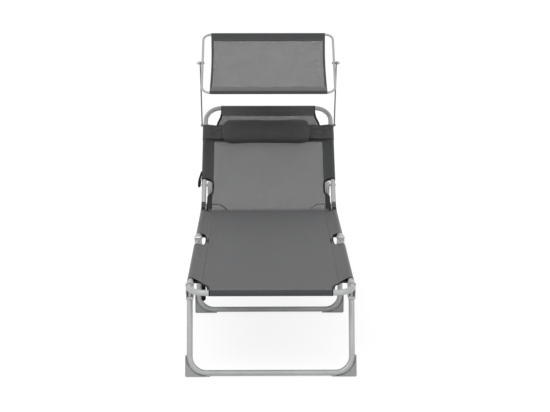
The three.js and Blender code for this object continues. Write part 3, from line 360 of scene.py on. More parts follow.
def lockstitch():
    """Two rows of stitches at a distance U from a hem's upper edge: a thread of 0.7 mm, up for 0.75 of every
    4 mm along V. The height of a stitch is round along its length."""
    tree, into, out = group("Lockstitch rows", {"UV": None, "First row": 0.003}, ("Thread", "Height"))
    apart, half_thread, stitch, share = 0.005, 0.00035, 0.004, 0.75
    split = node(tree, "ShaderNodeSeparateXYZ", Vector=into["UV"])
    past = maths(tree, "SUBTRACT", split[0], into["First row"])
    second = maths(tree, "SUBTRACT", past, apart)
    near = maths(tree, "MINIMUM", maths(tree, "ABSOLUTE", past), maths(tree, "ABSOLUTE", second))
    row = maths(tree, "LESS_THAN", near, half_thread)
    run = maths(tree, "FRACT", maths(tree, "DIVIDE", split[1], stitch))
    thread = maths(tree, "MULTIPLY", row, maths(tree, "LESS_THAN", run, share))
    arch = maths(tree, "SINE", maths(tree, "MULTIPLY", run, math.pi / share))
    feed(tree, out, Thread=thread, Height=maths(tree, "MULTIPLY", thread, arch))
    return tree


def scuffs():
    """Fine speckle and broad cloudiness, from Object coordinates in metres."""
    tree, into, out = group("Handling marks", {"Place": None, "Grain": 900.0}, ("Speckle", "Cloud"))
    fine = node(tree, "ShaderNodeTexNoise", Vector=into["Place"], Scale=into["Grain"], Detail=2)
    feed(tree, out, Speckle=fine["Fac"], Cloud=noise(tree, into["Place"], 9, 4))
    return tree


WEAVE = yarn_weave()
MARKS = scuffs()
STITCHES = lockstitch()


def shader(name, **fixed):
    """A material, its tree and its Principled BSDF, with the sockets that are the same all over."""
    made = bpy.data.materials.new(name)
    made.use_nodes = True
    tree = made.node_tree
    bsdf = tree.nodes["Principled BSDF"]
    feed(tree, bsdf, **fixed)
    return made, tree, bsdf


def marks_on(tree, grain):
    """The handling marks on a piece's Object coordinates."""
    return effect(tree, MARKS, Place=node(tree, "ShaderNodeTexCoord")["Object"], Grain=grain)


def bumped(tree, height, strength, distance):
    return node(tree, "ShaderNodeBump", Height=height, Strength=strength, Distance=distance)["Normal"]


def mesh_cloth(
    name, dark, light, see_through=False, pitch=0.00125, yarn=0.60, streak=0.16, thread=None, gloss=1.0
):
    """Vinyl-coated yarn: darker between the yarns and where a yarn dips under the next, as painted shade; faint
    streaks along the strip, see-through where it is one layer. A hem also has its two rows of thread."""
    fixed = {"Sheen_Weight": 0.2 * gloss, "Sheen_Roughness": 0.45, "Specular_IOR_Level": 0.35 * gloss}
    made, tree, bsdf = shader(name, **fixed)
    uv = node(tree, "ShaderNodeUVMap")[0]
    weave = effect(tree, WEAVE, UV=uv, Pitch=pitch, Yarn_share=yarn)
    marks = marks_on(tree, 260)
    # painted shade: the yarn colour runs from dark where the weave is low to light on the yarn tops
    yarn_tone_with_painted_shade = mixed(tree, weave["Height"], dark, light)
    streaks = between(tree, weave["Streaks"], 0.25, 0.75, 1 - streak, 1 + streak)
    cloud = between(tree, marks["Cloud"], 0.3, 0.7, 0.94, 1.06)
    tone = maths(tree, "MULTIPLY", streaks, cloud)
    shade = node(tree, "ShaderNodeCombineColor", Red=tone, Green=tone, Blue=tone)[0]
    colour = mixed(tree, 1.0, yarn_tone_with_painted_shade, shade, "MULTIPLY")
    height = weave["Height"]
    if thread:
        rows = effect(tree, STITCHES, UV=uv)
        colour = mixed(tree, rows["Thread"], colour, thread)
        height = maths(tree, "ADD", height, maths(tree, "MULTIPLY", rows["Height"], 0.6))
    rough = between(tree, marks["Speckle"], 0.3, 0.7, 0.50, 0.66)
    normal = bumped(tree, height, 0.5, pitch * 0.35)
    alpha = weave["Cover"] if see_through else 1.0
    feed(tree, bsdf, Base_Color=colour, Roughness=rough, Normal=normal, Alpha=alpha)
    return made


def hard_finish(
    name, dark, light, grain, rough, relief, metallic=0.0, specular=0.5, rubbed="Cloud", spread=0.2
):
    """Paint, plating or moulding: cloudy colour, roughness that follows the mark rubbed, and a fine grain in
    relief, given as its strength and height."""
    made, tree, bsdf = shader(name, Metallic=metallic, Specular_IOR_Level=specular)
    marks = marks_on(tree, grain)
    tint = between(tree, marks["Cloud"], 0.5 - spread, 0.5 + spread, 0.0, 1.0)
    colour = mixed(tree, tint, dark, light)
    rough = between(tree, marks[rubbed], 0.3, 0.7, *rough)
    feed(tree, bsdf, Base_Color=colour, Roughness=rough, Normal=bumped(tree, marks["Speckle"], *relief))
    return made


def plated_steel(name, dark, light):
    """Plated steel, with a fine drawn grain and cloudy plating."""
    fixed = {"metallic": 0.95, "rubbed": "Speckle", "spread": 0.15}
    return hard_finish(name, (dark,) * 3, (light,) * 3, 1400, (0.24, 0.42), (0.1, 0.0003), **fixed)


def ribbed_webbing():
    """Black polyester webbing on a UV map in metres: ribs across the tape, slanted like a herringbone. The
    grooves between the ribs are painted darker as shade.
    """
    made, tree, bsdf = shader("Black webbing", Roughness=0.85, Specular_IOR_Level=0.08)
    split = node(tree, "ShaderNodeSeparateXYZ", Vector=node(tree, "ShaderNodeUVMap")[0])
    run = maths(tree, "ADD", split[1], maths(tree, "PINGPONG", split[0], 0.004))
    ribs = maths(tree, "SINE", maths(tree, "MULTIPLY", run, 2 * math.pi / 0.0016))
    # painted shade: the colour is darker in the grooves between the ribs
    shade = between(tree, ribs, -1.0, 1.0, 0.0, 1.0)
    colour = mixed(tree, shade, (0.004, 0.004, 0.005), (0.016, 0.016, 0.017))
    feed(tree, bsdf, Base_Color=colour, Normal=bumped(tree, ribs, 0.5, 0.0004))
    return made


THREAD = (0.10, 0.10, 0.10)
LYING = mesh_cloth("Grey mesh cloth", (0.030, 0.031, 0.033), (0.070, 0.072, 0.076), True)
HEMMED = mesh_cloth("Grey mesh hem", (0.019, 0.020, 0.021), (0.045, 0.046, 0.049), streak=0.22, thread=THREAD)
# painted light: the top hem is a lighter copy of the hem cloth, and its stronger streaks paint the light and shade
# of crumples
LIT_TOP_HEM_CLOTH = mesh_cloth(
    "Grey mesh top hem with painted light", (0.036, 0.037, 0.038), (0.086, 0.087, 0.089), streak=0.3, thread=THREAD
)
SHADE = mesh_cloth("Grey canopy mesh", (0.034, 0.034, 0.035), (0.080, 0.080, 0.082), True, yarn=0.55)
# painted light: the flat of the canopy's front hem is a lighter copy of the hem cloth, for the light that shows
# through its two layers
LIT_FRONT_HEM_CLOTH = mesh_cloth(
    "Grey canopy front hem with painted light", (0.060, 0.060, 0.061), (0.148, 0.148, 0.150), thread=THREAD
)
COVER = mesh_cloth(
    "Dark pillow cover", (0.032, 0.032, 0.033), (0.074, 0.074, 0.075), pitch=0.0008, streak=0.08, gloss=0.3
)
BAND = mesh_cloth("Dark pillow band", (0.018, 0.018, 0.019), (0.064, 0.064, 0.066), pitch=0.0016, streak=0.3)
BINDING = mesh_cloth(
    "Dark binding tape", (0.008, 0.008, 0.009), (0.022, 0.022, 0.023), pitch=0.0007, streak=0.1, gloss=0.15
)
# partly painted shade: the dark facing beside the hip also stands in for the rear leg in shadow behind the cut-out
FACING_AND_SHADE = mesh_cloth(
    "Dark gathered facing and painted shade", (0.008, 0.008, 0.009), (0.060, 0.060, 0.062), pitch=0.0032, streak=0.4, gloss=0.3
)
PAINT = hard_finish(
    "Grey powder coat", (0.335, 0.338, 0.341), (0.375, 0.378, 0.381), 700, (0.32, 0.46), (0.12, 0.0004), 0.35
)
PLASTIC = hard_finish(
    "Grey moulded plastic", (0.215, 0.217, 0.220), (0.255, 0.257, 0.260), 1800, (0.42, 0.58), (0.25, 0.0003),
    specular=0.45,
)
STEEL = plated_steel("Zinc plated steel", 0.44, 0.56)
ARM_STEEL = plated_steel("Dull arm steel", 0.15, 0.25)
HINGE_STEEL = plated_steel("Dark hinge steel", 0.05, 0.16)
WEBBING = ribbed_webbing()
FINISH = {
    "frame_paint": PAINT,
    "plated_steel": STEEL,
    "shoe_plastic": PLASTIC,
    "mesh_cloth": HEMMED,
    "pillow_cloth": COVER,
    "webbing": WEBBING,
}


# Frame


def steel_pieces():
    slots = {p["node"]: p["material_slot"] for p in frame["record"]["subparts"]}
    for name, part in frame["nodes"].items():
        part.data.materials.clear()
        finish = FINISH[slots[name]]
        if finish is STEEL:
            finish = {"ratchet": HINGE_STEEL, "canopy_": ARM_STEEL}.get(name[:7], STEEL)
        part.data.materials.append(finish)
        if slots[name] in ("plated_steel", "frame_paint"):
            join = part.modifiers.new("Weld", "WELD")
            join.merge_threshold = 2e-5
            soften(part, 0.0004, 30)


def section_frames():
    x, end = np.array([-1, -1, 1, 1]) * HALF_WIDTH, FOOT_LENGTH - FOOT_END
    foot = tube(on_bed(x, [end, 0, 0, end]), 0.065, (0, 0, 1), TUBE)
    fitted(solid("foot_tube", foot, PAINT), "foot", "frame_paint", "foot_frame")
    back = tube(on_back(x, [HIP_END, BACK_LENGTH, BACK_LENGTH, HIP_END]), 0.068, FACE, TUBE)
    fitted(solid("back_tube", back, PAINT), "back", "frame_paint", "back_frame")
    for side, hand in HAND:
        run = on_bed([side * HALF_WIDTH] * 2, [FOOT_LENGTH + SEAT_END, HIP_AT - HIP_END])
        made = solid(f"seat_side_tube_{hand}", tube(run, 0.05, (0, 0, 1), TUBE), PAINT)
        fitted(made, "seat", "frame_paint", f"seat_tube_{hand}")


LEG_BEND, SOLE = 0.057, 0.003  # the bends' radius, and the shoe below the tube
SHOE_REACH, SHOE_HEIGHT, SHOE_SIDE = 0.084, 0.073, 0.005  # along the floor, up the leg, and beside the tube


def corner_shoe(put, side, half, radius, length):
    """A moulded corner shoe. Its outline runs from the leg's bend, at share 0, to the outer corner, at
    share 1. Its half thickness is rim - panel·ease(run)·ease(share) - groove·exp(-((d - tube edge)/width)²),
    where d is the distance from the tube's axis."""
    outer, floor = half + radius + SHOE_SIDE, length + radius + SOLE
    top, tip = floor - SHOE_HEIGHT, outer - SHOE_REACH
    inner_path, _ = bent([(half, 0, top), (half, 0, length), (tip, 0, length)], LEG_BEND, 14)
    outer_path, _ = bent([(outer, 0, top), (outer, 0, floor), (tip, 0, floor)], 0.004, 8)
    run = np.linspace(0, 1, 34)

    def even(path):
        done = lengths(path) / lengths(path)[-1]
        return np.stack([np.interp(run, done, path[:, k]) for k in range(3)], -1)

    a, b = even(inner_path), even(outer_path)
    share = np.linspace(0, 1, 28)
    flat = a[:, None] * (1 - share)[None, :, None] + b[:, None] * share[None, :, None]
    away = share[None] * np.linalg.norm(b - a, axis=1)[:, None]
    ease = lambda q: q * q * (3 - 2 * q)
    panel = ease(np.clip((share - 0.34) / 0.14, 0, 1)) * ease(np.clip((0.92 - share) / 0.1, 0, 1))
    ends = ease(np.clip(run / 0.1, 0, 1) * np.clip((1 - run) / 0.16, 0, 1))
    groove = np.exp(-(((away - radius - 0.0016) / 0.0016) ** 2)) * ends[:, None]
    edge = 0.0014 * np.clip((share - 0.94) / 0.06, 0, 1) ** 2
    half_thick = 0.008 - 0.0016 * ends[:, None] * panel[None] - 0.0046 * groove - edge[None]
    faces = []
    for way in (1, -1):
        p = put(side * flat[..., 0], way * half_thick, flat[..., 2])
        p[..., 2] = np.maximum(p[..., 2], 0.0)
        faces.append(p)
    return closed(np.concatenate([faces[0], faces[1][:, ::-1]], 1))


def leg(name, pin, rake, half=HALF_WIDTH, radius=TUBE, drop=LEG_DROP):
    """A bent tube and its two corner shoes, drop below its pins, its foot leaning to the front by rake."""
    fore, down = leaning(math.pi - rake)
    put = space(np.array([0, pin[1], pin[2]]), fore, down)
    length = (drop - radius - SOLE) / math.cos(rake)
    corners = put([-half, -half, half, half], 0.0, [-0.012, length, length, -0.012])
    made = solid(f"{name}_bent_tube", tube(corners, LEG_BEND, fore, radius), PAINT)
    fitted(made, name, "frame_paint", f"{name}_tube")
    for side, hand in HAND:
        shoe = corner_shoe(put, side, half, radius, length)
        made = soften(solid(f"{name}_corner_shoe_{hand}", shoe, PLASTIC), 0.0006, 40)
        fitted(made, name, "shoe_plastic", f"{name}_shoe_{hand}")


def canopy_metal():
    x = np.array([0.0003, 0.281, 0.281, -0.281, -0.281, -0.0003])
    corners = on_canopy(x, CANOPY_BAR * np.array([1, 1, -1, -1, 1, 1]))
    bars = tube(corners, 0.034, leaning(CANOPY_TILT)[1], 0.005, 16, 10, 0.0001)
    fitted(solid("canopy_bent_tube", bars, PAINT), "canopy", "frame_paint", "canopy_frame")
    for side, hand in HAND:
        made = solid(f"wing_nut_cast_{hand}", wing_nut(side), STEEL)
        fitted(made, f"wing_nut_{hand}_body", "plated_steel", f"wing_nut_{hand}")


def wing_nut(side):
    """A turned hub, bored through, and two cast wings: each a rounded plate with its half sizes raised to
    sin and cos powers, thickest at the hub."""
    start, bore = 0.2946, 0.0028
    profile = [(0, bore), (0, 0.0045), (0.001, 0.0048), (0.005, 0.0040), (0.006, 0.0034), (0.006, bore)]
    out, radius = np.array([*profile, profile[0]]).T[..., None]
    a = full_turn(28)
    parts = [grid(on_canopy(side * (start + out), radius * np.cos(a), radius * np.sin(a)), wrap=True)]
    p = np.linspace(0, math.pi, 16)[:, None]
    q = full_turn(24)
    for way in (-1, 1):
        reach = 0.0070 + 0.0040 * powered(np.cos(q), 0.7) * np.sin(p) ** 0.5
        rise = 0.0037 + 0.0031 * powered(np.sin(q), 0.7) * np.sin(p) ** 0.5
        thick = 0.0013 * powered(np.cos(p), 0.6) * (1.25 - 35 * (reach - 0.003))
        parts.append(grid(on_canopy(side * (start + rise), way * reach, thick), wrap=True))
    return parts


# Cloth

EDGE = 0.2642  # of the cloth web, where it meets a side tube
STITCH = 0.2352  # of the side hems' stitching
FRONT_HALF, NECK_HALF = 0.206, 0.207
HIP_ROUND = 0.040  # radius that the cloth takes over the hip
FOOT_CUT = (FOOT_LENGTH - 0.085, FOOT_LENGTH + 0.084, 0.0222)  # start, end and depth from EDGE
HIP_CUT = (HIP_AT - 0.046, HIP_AT + 0.154, 0.0237)
HIP_RUN_SHARES = (0, 0.015, 0.38, 0.44, 0.58, 0.64, 0.67, 0.7, 0.94, 0.98, 1)
HIP_DEPTH_SHARES = (0, 0.06, 0.06, 0.2, 0.2, 0.55, 0.92, 1, 1, 0.75, 0)
TOP_AT = HIP_AT + BACK_LENGTH
END_HEM, REAR_HEM, FRONT_HEM = 0.043, 0.038, 0.034  # from a bar's axis to the stitching of its hem
SLEEVE = 0.0113  # radius of the hems round the bed's tubes
FRONT_CORNER = 0.152  # where the front corners' cut starts


def corner_cut(shares, half, start, run):
    """The cloth's edge round a cut corner, from the side edge inwards to half: a curve through shares of the
    cut's width and of its run."""
    line = smooth_line(np.array(shares) * (EDGE - half, run) + (0, start))
    line[:, 0] = EDGE - line[:, 0]
    return line


front_edge = corner_cut(
    [(0, 0), (0.37, 0.14), (0.67, 0.32), (0.886, 0.475), (0.98, 0.79), (1, 1)],
    FRONT_HALF, FRONT_CORNER, -0.1412,
)
neck_edge = corner_cut(
    [(0, 0), (0.6, 0.12), (0.72, 0.3), (0.84, 0.47), (0.93, 0.64), (0.98, 0.82), (1, 1)],
    NECK_HALF, HIP_AT + 0.440, 0.0992,
)


def hip_line():
    """The cloth's edge beside the hip: the shares' outline, with its corners rounded by a running mean of
    5 mm."""
    low, high, depth = HIP_CUT
    s = np.arange(low - 0.006, high + 0.006, 0.0005)
    share = np.interp((s - low) / (high - low), HIP_RUN_SHARES, HIP_DEPTH_SHARES)
    x = np.convolve(np.pad(EDGE - depth * share, 5, mode="edge"), np.ones(11) / 11, "valid")
    return pairs(x, s)


hip_edge = hip_line()


def strip_point(x, s, n=0.0):
    """A point of the bed strip: x across, s along it, n out of its face. The strip is level from the foot,
    takes a round bend of HIP_ROUND at the hip and then goes up the back."""
    x, s, n = np.broadcast_arrays(np.asarray(x, float), s, n)
    reach = HIP_ROUND * math.tan(LEAN / 2)
    turn = np.clip((s - HIP_AT + reach) / (2 * reach), 0, 1) * LEAN
    start = np.array([0, HIP[1] - reach, BED_HEIGHT])
    bend = start + HIP_ROUND * np.stack([0 * s, np.sin(turn), 1 - np.cos(turn)], -1)
    way = np.stack([0 * s, np.cos(turn), np.sin(turn)], -1)
    face = np.stack([0 * s, -np.sin(turn), np.cos(turn)], -1)
    beyond = np.where(s < HIP_AT, np.minimum(s - HIP_AT + reach, 0), np.maximum(s - HIP_AT - reach, 0))
    return bend + beyond[..., None] * way + x[..., None] * ACROSS + n[..., None] * face


def notch_width(s, notch):
    """Half width left by a rounded notch: edge - depth·sqrt(sin a), where cos a runs from -1 to 1 over it."""
    low, high, depth = notch
    c = np.clip((2 * s - low - high) / (high - low), -1, 1)
    return EDGE - depth * (1 - c * c) ** 0.25


def edge_width(s):
    """Half width of the whole cut at s, with both cut-outs, the front corners and the neck."""
    w = np.minimum(notch_width(s, FOOT_CUT), np.interp(s, hip_edge[:, 1], hip_edge[:, 0]))
    order = front_edge[::-1]
    w = np.where(s < FRONT_CORNER, np.interp(s, order[:, 1], order[:, 0]), w)
    return np.where(s > neck_edge[0, 1], np.interp(s, neck_edge[:, 1], neck_edge[:, 0]), w)


def sag(x, s):
    """Slight hollow of the stretched cloth, deepest along the middle: depth·(1 - (x/w)²)·sin of the run."""
    w = np.minimum(edge_width(s), 0.236)
    run = np.where(s < HIP_AT, s / HIP_AT, (s - HIP_AT) / BACK_LENGTH)
    return -0.004 * (1 - np.clip(np.abs(x) / w, 0, 1) ** 2) * np.sin(np.pi * np.clip(run, 0, 1)) ** 0.7


def web(s0, s1):
    """The single layer: across shares from -1 to 1 of the half width at each s. The first and last rows are
    close together, so that the join across the seat doesn't shade."""
    s = np.linspace(s0, s1, int(abs(s1 - s0) / 0.005) + 1)
    s = np.insert(s, [1, len(s) - 1], [s0 + 0.0003, s1 - 0.0003])[:, None]
    share = np.linspace(-1, 1, 61)
    low, high = HIP_CUT[0], HIP_CUT[1] - 0.012
    bare = np.interp(s, (low - 0.006, low + 0.002, high, high + 0.006), (0, 1, 1, 0))
    w = edge_width(s)
    w = bare * w + (1 - bare) * np.minimum(w, STITCH + 0.001)
    x = share * w
    return grid(strip_point(x, s, sag(x, s)), uv=pairs(x, s))


def wrapped(depth, radius, touch, gap, low, straight, count):
    """A hem's section from its upper stitching, over a tube and back below: straight to where it touches the
    round, and round with the angle a. The stitching is depth away and gap above and below the height low.
    Gives (distance from the tube's axis, height)."""
    a = np.linspace(math.pi - touch, touch - math.pi, count)
    arc = pairs(radius * np.cos(a), radius * np.sin(a))
    t = np.linspace(0, 1, straight, endpoint=False)
    t = np.insert(t, 1, 0.012)[:, None]  # a row near the seam keeps its shading sharp
    upper = np.array([-depth, low + gap]) * (1 - t) + arc[0] * t
    lower = arc[-1] * t[::-1] + np.array([-depth, low - gap]) * (1 - t[::-1])
    return np.vstack([upper, arc, lower])


def sleeve_section():
    """A side hem's section, from its stitching round a side tube."""
    back, gap = HALF_WIDTH - STITCH, 0.0006
    return wrapped(back, SLEEVE, math.acos(SLEEVE / math.hypot(back, gap)), gap, 0.0, 8, 22)


def side_sleeve(side, start, end, rows, pinch=0.0):
    """Side hem round a tube. Its ends follow the cut-outs: at each point of the section they start and end
    at start(x) and end(x). Over its first run of pinch, the lower layer is drawn up flat beside the tube,
    because the rear leg folds close below it."""
    section = sleeve_section()
    x = HALF_WIDTH + section[:, 0]
    low, high = start(x), end(x)
    t = np.linspace(0, 1, rows)[:, None]
    s = low * (1 - t) + high * t
    n = section[:, 1]
    if pinch:
        clear = TUBE + 0.0008
        tube_half = np.sqrt(np.clip(clear**2 - section[:, 0] ** 2, 0, None))
        flat = np.minimum(-0.0008, -tube_half - 0.0004)
        free = np.clip((s - low) / pinch, 0, 1)
        n = np.where((n < 0) & (section[:, 0] < 0), np.maximum(n, flat * (1 - free) + n * free), n)
    return grid(strip_point(side * x, s, n), uv=pairs(lengths(section), s), turn=side < 0)


def notch_end(notch, which):
    """Where a hem ends beside a notch, at each distance x from the middle."""
    low, high, depth = notch
    middle, half = (low + high) / 2, (high - low) / 2

    def at(x):
        q = np.clip((EDGE - x) / depth, 0, 1)
        return middle + which * half * np.sqrt(np.clip(1 - q**4, 0, 1))

    return at


def edge_end(line):
    order = np.argsort(line[:, 0])
    return lambda x: np.interp(x, line[order, 0], line[order, 1])


def above_hip(x):
    """Where the back's side hems start, above the hip cut-out."""
    low, high, depth = HIP_CUT
    run, share = np.array(HIP_RUN_SHARES[-3:]), np.array(HIP_DEPTH_SHARES[-3:])
    return np.interp(x, EDGE - depth * share, low + (high - low) * run)


def beside(line, side, across):
    """Moves a line of (x, s) sideways, square to itself, by each distance of across. Gives x and s."""
    dx, ds = np.gradient(line, axis=0).T[..., None]
    d = np.hypot(dx, ds)
    return side * (line[:, :1] + ds / d * across), line[:, 1:] - dx / d * across


def binding(line, side, width, past):
    """Tape folded over a cut edge: an oval section along the edge, reaching past the cut."""
    line = line[np.r_[True, np.hypot(*np.diff(line, axis=0).T) > 1e-5]]
    a = full_turn(10)
    x, s = beside(line, side, (width / 2) * (np.cos(a) - 1) + past)
    p = strip_point(x, s, 0.0014 * np.sin(a) + sag(x, s))
    return closed(p, pairs(np.linspace(0, 0.02, 11), lengths(p[:, 0])[:, None]))


def notch_line(notch):
    start, end, depth = notch
    a = np.linspace(0, math.pi, 60)
    q = np.sqrt(np.sin(a).clip(0))
    return pairs(EDGE - depth * q, (start + end) / 2 - (end - start) / 2 * np.cos(a))


def hem_section(depth, radius, gap, low=0.0):
    """An end hem's section, from its stitching round a bar."""
    return wrapped(depth, radius, math.acos(radius / depth), gap, low, 14, 24)


def cross_hem(at, way, half, depth, fold):
    """End hem round a cross tube at distance at, stitched depth away in the direction way. The upper layer
    has a soft fold along its middle: fold·exp(-((d - depth/2)/5 mm)²), uneven along its length, and it is
    drawn in a little between the stitches."""
    section = hem_section(depth, SLEEVE, 0.0008)
    x = np.linspace(-half, half, 120)[:, None]
    off = -section[:, 0]
    upper = (np.arange(len(off)) < len(off) / 2) * np.clip(off / depth, 0, 1)
    ridge = np.exp(-(((off - depth * 0.52 - 0.002 * np.sin(x * 11)) / 0.0045) ** 2))
    uneven = 0.65 + 0.35 * np.sin(x * 23 + 0.7) * np.sin(x * 9)
    pucker = 0.0004 * np.sin(x * 310) * np.exp(-(((off - depth) / 0.006) ** 2))
    wave = 0.0005 * np.sin(x * 95) * np.sin(x * 37 + 1.3)
    lift = upper * (fold * ridge * uneven + wave) + pucker * (upper > 0)
    p = strip_point(x, at + way * off, section[:, 1] + lift)
    return grid(p, uv=pairs(lengths(section), x), turn=way < 0)


def second_material(made, material, where):
    made.data.materials.append(material)
    made.data.polygons.foreach_set("material_index", where.astype(np.int32))
    return made


def bound(made, rows, first, last):
    """Dark tape over the first and the last faces of a hem with so many rows of points."""
    row = np.arange(len(made.data.polygons)) * (rows - 1) // len(made.data.polygons)
    return second_material(made, BINDING, (row < first) | (row >= rows - 1 - last))


def hip_facing_and_shade(side):
    """The dark gathered facing sewn along the cloth's edge beside the hip, which also paints the shade where the
    rear leg shows through the cut-out: rows along s, columns from its inner seam to the edge, ruffled by
    sin(2·pi·s/7 mm), more towards the edge."""
    s = np.linspace(HIP_AT + 0.004, HIP_AT + 0.124, 130)[:, None]
    edge = np.interp(s, hip_edge[:, 1], hip_edge[:, 0])
    inner = np.minimum(0.2400, edge - 0.005)
    t = np.linspace(0, 1, 9)
    x = inner * (1 - t) + (edge + 0.001) * t
    ruffle = 0.0009 * np.sin(2 * np.pi * s / 0.0072 + 2 * t) * (0.25 + 0.75 * t)
    p = strip_point(side * x, s, 0.0013 + 0.0008 * np.sin(np.pi * t) + ruffle)
    return grid(p, uv=pairs(x, s), turn=side < 0)


def cord_along(line, side, radius, lift):
    """A thin round cord sewn on the cloth: a circle of eight points carried along a line of (x, s)."""
    a = full_turn(8)
    return closed(strip_point(*beside(line, side, radius * np.cos(a)), lift + radius * np.sin(a)))


hip_arc = smooth_line(
    [(0.2400, 0.0295), (0.2230, 0.0300), (0.2060, 0.0285), (0.1950, 0.0210),
     (0.1850, 0.0110), (0.1780, 0.0010), (0.1735, -0.0080)]
)
hip_arc[:, 1] += HIP_AT
BETWEEN_HINGE = (on_bed(0, FOOT_LENGTH - 0.03), on_bed(0, FOOT_LENGTH + 0.03))
BETWEEN_HIP = (on_bed(0, HIP_AT - 0.03), on_back(0, 0.03))
SEAM = 1.0  # across the seat, where the two pieces of the strip meet
WEB_CLOTH, HEM_CLOTH = 0.00016, 0.0005


def bed_cloth():
    pieces = {"foot": [], "back": []}

    def put(made, zone):
        """Bakes a piece's placement into its points and lists it with the zone's sheet, which comes first."""
        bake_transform(made)
        pieces[zone].append(made)
        return made

    under = END_HEM - 0.002  # the web reaches 2 mm under each end hem
    foot = put(cloth_piece("bed_cloth_foot", web(under, SEAM), LYING, WEB_CLOTH), "foot")
    back = put(cloth_piece("bed_cloth_back", web(SEAM, TOP_AT - under), LYING, WEB_CLOTH), "back")
    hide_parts("foot_cloth")
    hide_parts("back_cloth", "seat_cloth")
    level = lambda value: (lambda x: np.full_like(x, value))
    foot_line = notch_line(FOOT_CUT)
    for side, hand in HAND:
        for name, zone, start, end, rows, taped in (
            (f"foot_side_hem_{hand}", "foot", edge_end(front_edge), notch_end(FOOT_CUT, -1), 110, (1, 2)),
            (f"seat_front_side_hem_{hand}", "foot", notch_end(FOOT_CUT, 1), level(SEAM), 50, (2, 0)),
            (f"seat_rear_side_hem_{hand}", "back", level(SEAM), level(HIP_CUT[0] + 0.002), 60, (0, 2)),
            (f"back_side_hem_{hand}", "back", above_hip, edge_end(neck_edge), 80, (2, 1)),
        ):
            shape = side_sleeve(side, start, end, rows, 0.018 * (start is above_hip))
            put(bound(cloth_piece(name, shape, HEMMED, HEM_CLOTH, -1), rows, *taped), zone)
        for name, zone, line in (
            (f"front_corner_binding_{hand}", "foot", front_edge),
            (f"foot_cutout_binding_{hand}", "foot", foot_line),
            (f"hip_cutout_binding_{hand}", "back", hip_edge[8:-8:4]),
            (f"neck_binding_{hand}", "back", neck_edge),
        ):
            size = (0.013, 0.0039) if line is foot_line else (0.009, 0.0014)
            put(solid(name, binding(line, side, *size), BINDING), zone)
        put(cloth_piece(f"hip_facing_and_shade_{hand}", hip_facing_and_shade(side), FACING_AND_SHADE, HEM_CLOTH), "back")
        cord = cord_along(hip_arc, side, 0.0015, 0.0008)
        put(solid(f"hip_arc_piping_{hand}", cord, BINDING), "back")
    for name, zone, at, way, half, fold, cloth in (
        ("front_hem", "foot", 0.0, 1, FRONT_HALF + 0.001, 0.0006, HEMMED),
        ("top_hem", "back", TOP_AT, -1, NECK_HALF + 0.001, 0.0032, LIT_TOP_HEM_CLOTH),
    ):
        made = cloth_piece(name, cross_hem(at, way, half, END_HEM, fold), cloth, HEM_CLOTH, -1)
        put(bound(made, 120, 1, 1), zone)


def canopy_cloth():
    """One sheet between the two bars, with a slight hollow h = cos(pi·v/2 bars), its side edges drawn in:
    x = share·(w - pull·h)."""
    w, bar, pull, deep, radius = 0.247, CANOPY_BAR, 0.004, 0.006, 0.0063

    def hollow(v):
        return np.cos(np.pi * v / (2 * bar))

    v = np.linspace(-bar + FRONT_HEM - 0.002, bar - REAR_HEM + 0.002, 70)[:, None]
    share = np.linspace(-1, 1, 61)
    x = share * (w - pull * hollow(v))
    creases = 0.0007 * np.sin(x * 43 + 0.6) * np.sin(v * 29)
    low = hollow(v) * (creases - deep * (1 - 0.35 * share**2))
    shape = grid(on_canopy(x, v, low), uv=pairs(x, v))
    sheet = cloth_piece("canopy_sheet", shape, SHADE, WEB_CLOTH)
    fitted(sheet, "canopy", "mesh_cloth", "canopy_cloth")
    others = []
    for way, name, depth, cloth in (
        (1, "canopy_rear_hem", REAR_HEM, HEMMED),
        (-1, "canopy_front_hem", FRONT_HEM, LIT_FRONT_HEM_CLOTH),
    ):
        section = hem_section(depth, radius, 0.0006, -deep * hollow(bar - depth))
        b = way * (bar + section[:, 0])
        across = np.linspace(-1, 1, 120)[:, None]
        x = across * (w - pull * hollow(b) * (np.abs(b) < bar))
        off = np.clip(-section[:, 0] / depth, 0, 1)
        wave = (0.0006 * np.sin(x * 61 + way) + 0.0003 * np.sin(x * 290) * off**4) * off
        uv = pairs(lengths(section), x)
        shape = grid(on_canopy(x, b, section[:, 1] + wave), uv=uv, turn=way < 0)
        hem = cloth_piece(name, shape, cloth, HEM_CLOTH, -1)
        # painted shade: on the front hem, the round over the bar keeps the darker hem cloth, for the shade under
        # the bar
        round_bar_in_painted_shade = np.abs(b[:-1] + b[1:]) / 2 > bar - radius
        others.append(second_material(hem, HEMMED, np.tile(round_bar_in_painted_shade, len(x) - 1)))
    for side, hand in HAND:
        v = np.linspace(-bar + 0.004, bar - 0.004, 50)[:, None]
        a = full_turn(10)
        x = side * (w - pull * hollow(v) - 0.004 + 0.005 * np.cos(a))
        p = on_canopy(x, v, 0.0016 * np.sin(a) - 0.0039 * hollow(v))
        tape = closed(p, pairs(np.linspace(0, 0.02, 11), v))
        others.append(solid(f"canopy_side_binding_{hand}", tape, HEMMED))
    for other in others:
        fitted(other, "canopy", "mesh_cloth")


def mesh_points(mesh):
    flat = np.empty(3 * len(mesh.vertices), np.float32)
    mesh.vertices.foreach_get("co", flat)
    return flat.reshape(-1, 3).astype(float)


def baked(made):
    """The piece's mesh with its modifiers applied."""
    bpy.context.view_layer.update()
    seen = made.evaluated_get(bpy.context.evaluated_depsgraph_get())
    mesh = bpy.data.meshes.new_from_object(seen)
    made.modifiers.clear()
    made.data = mesh
    return mesh


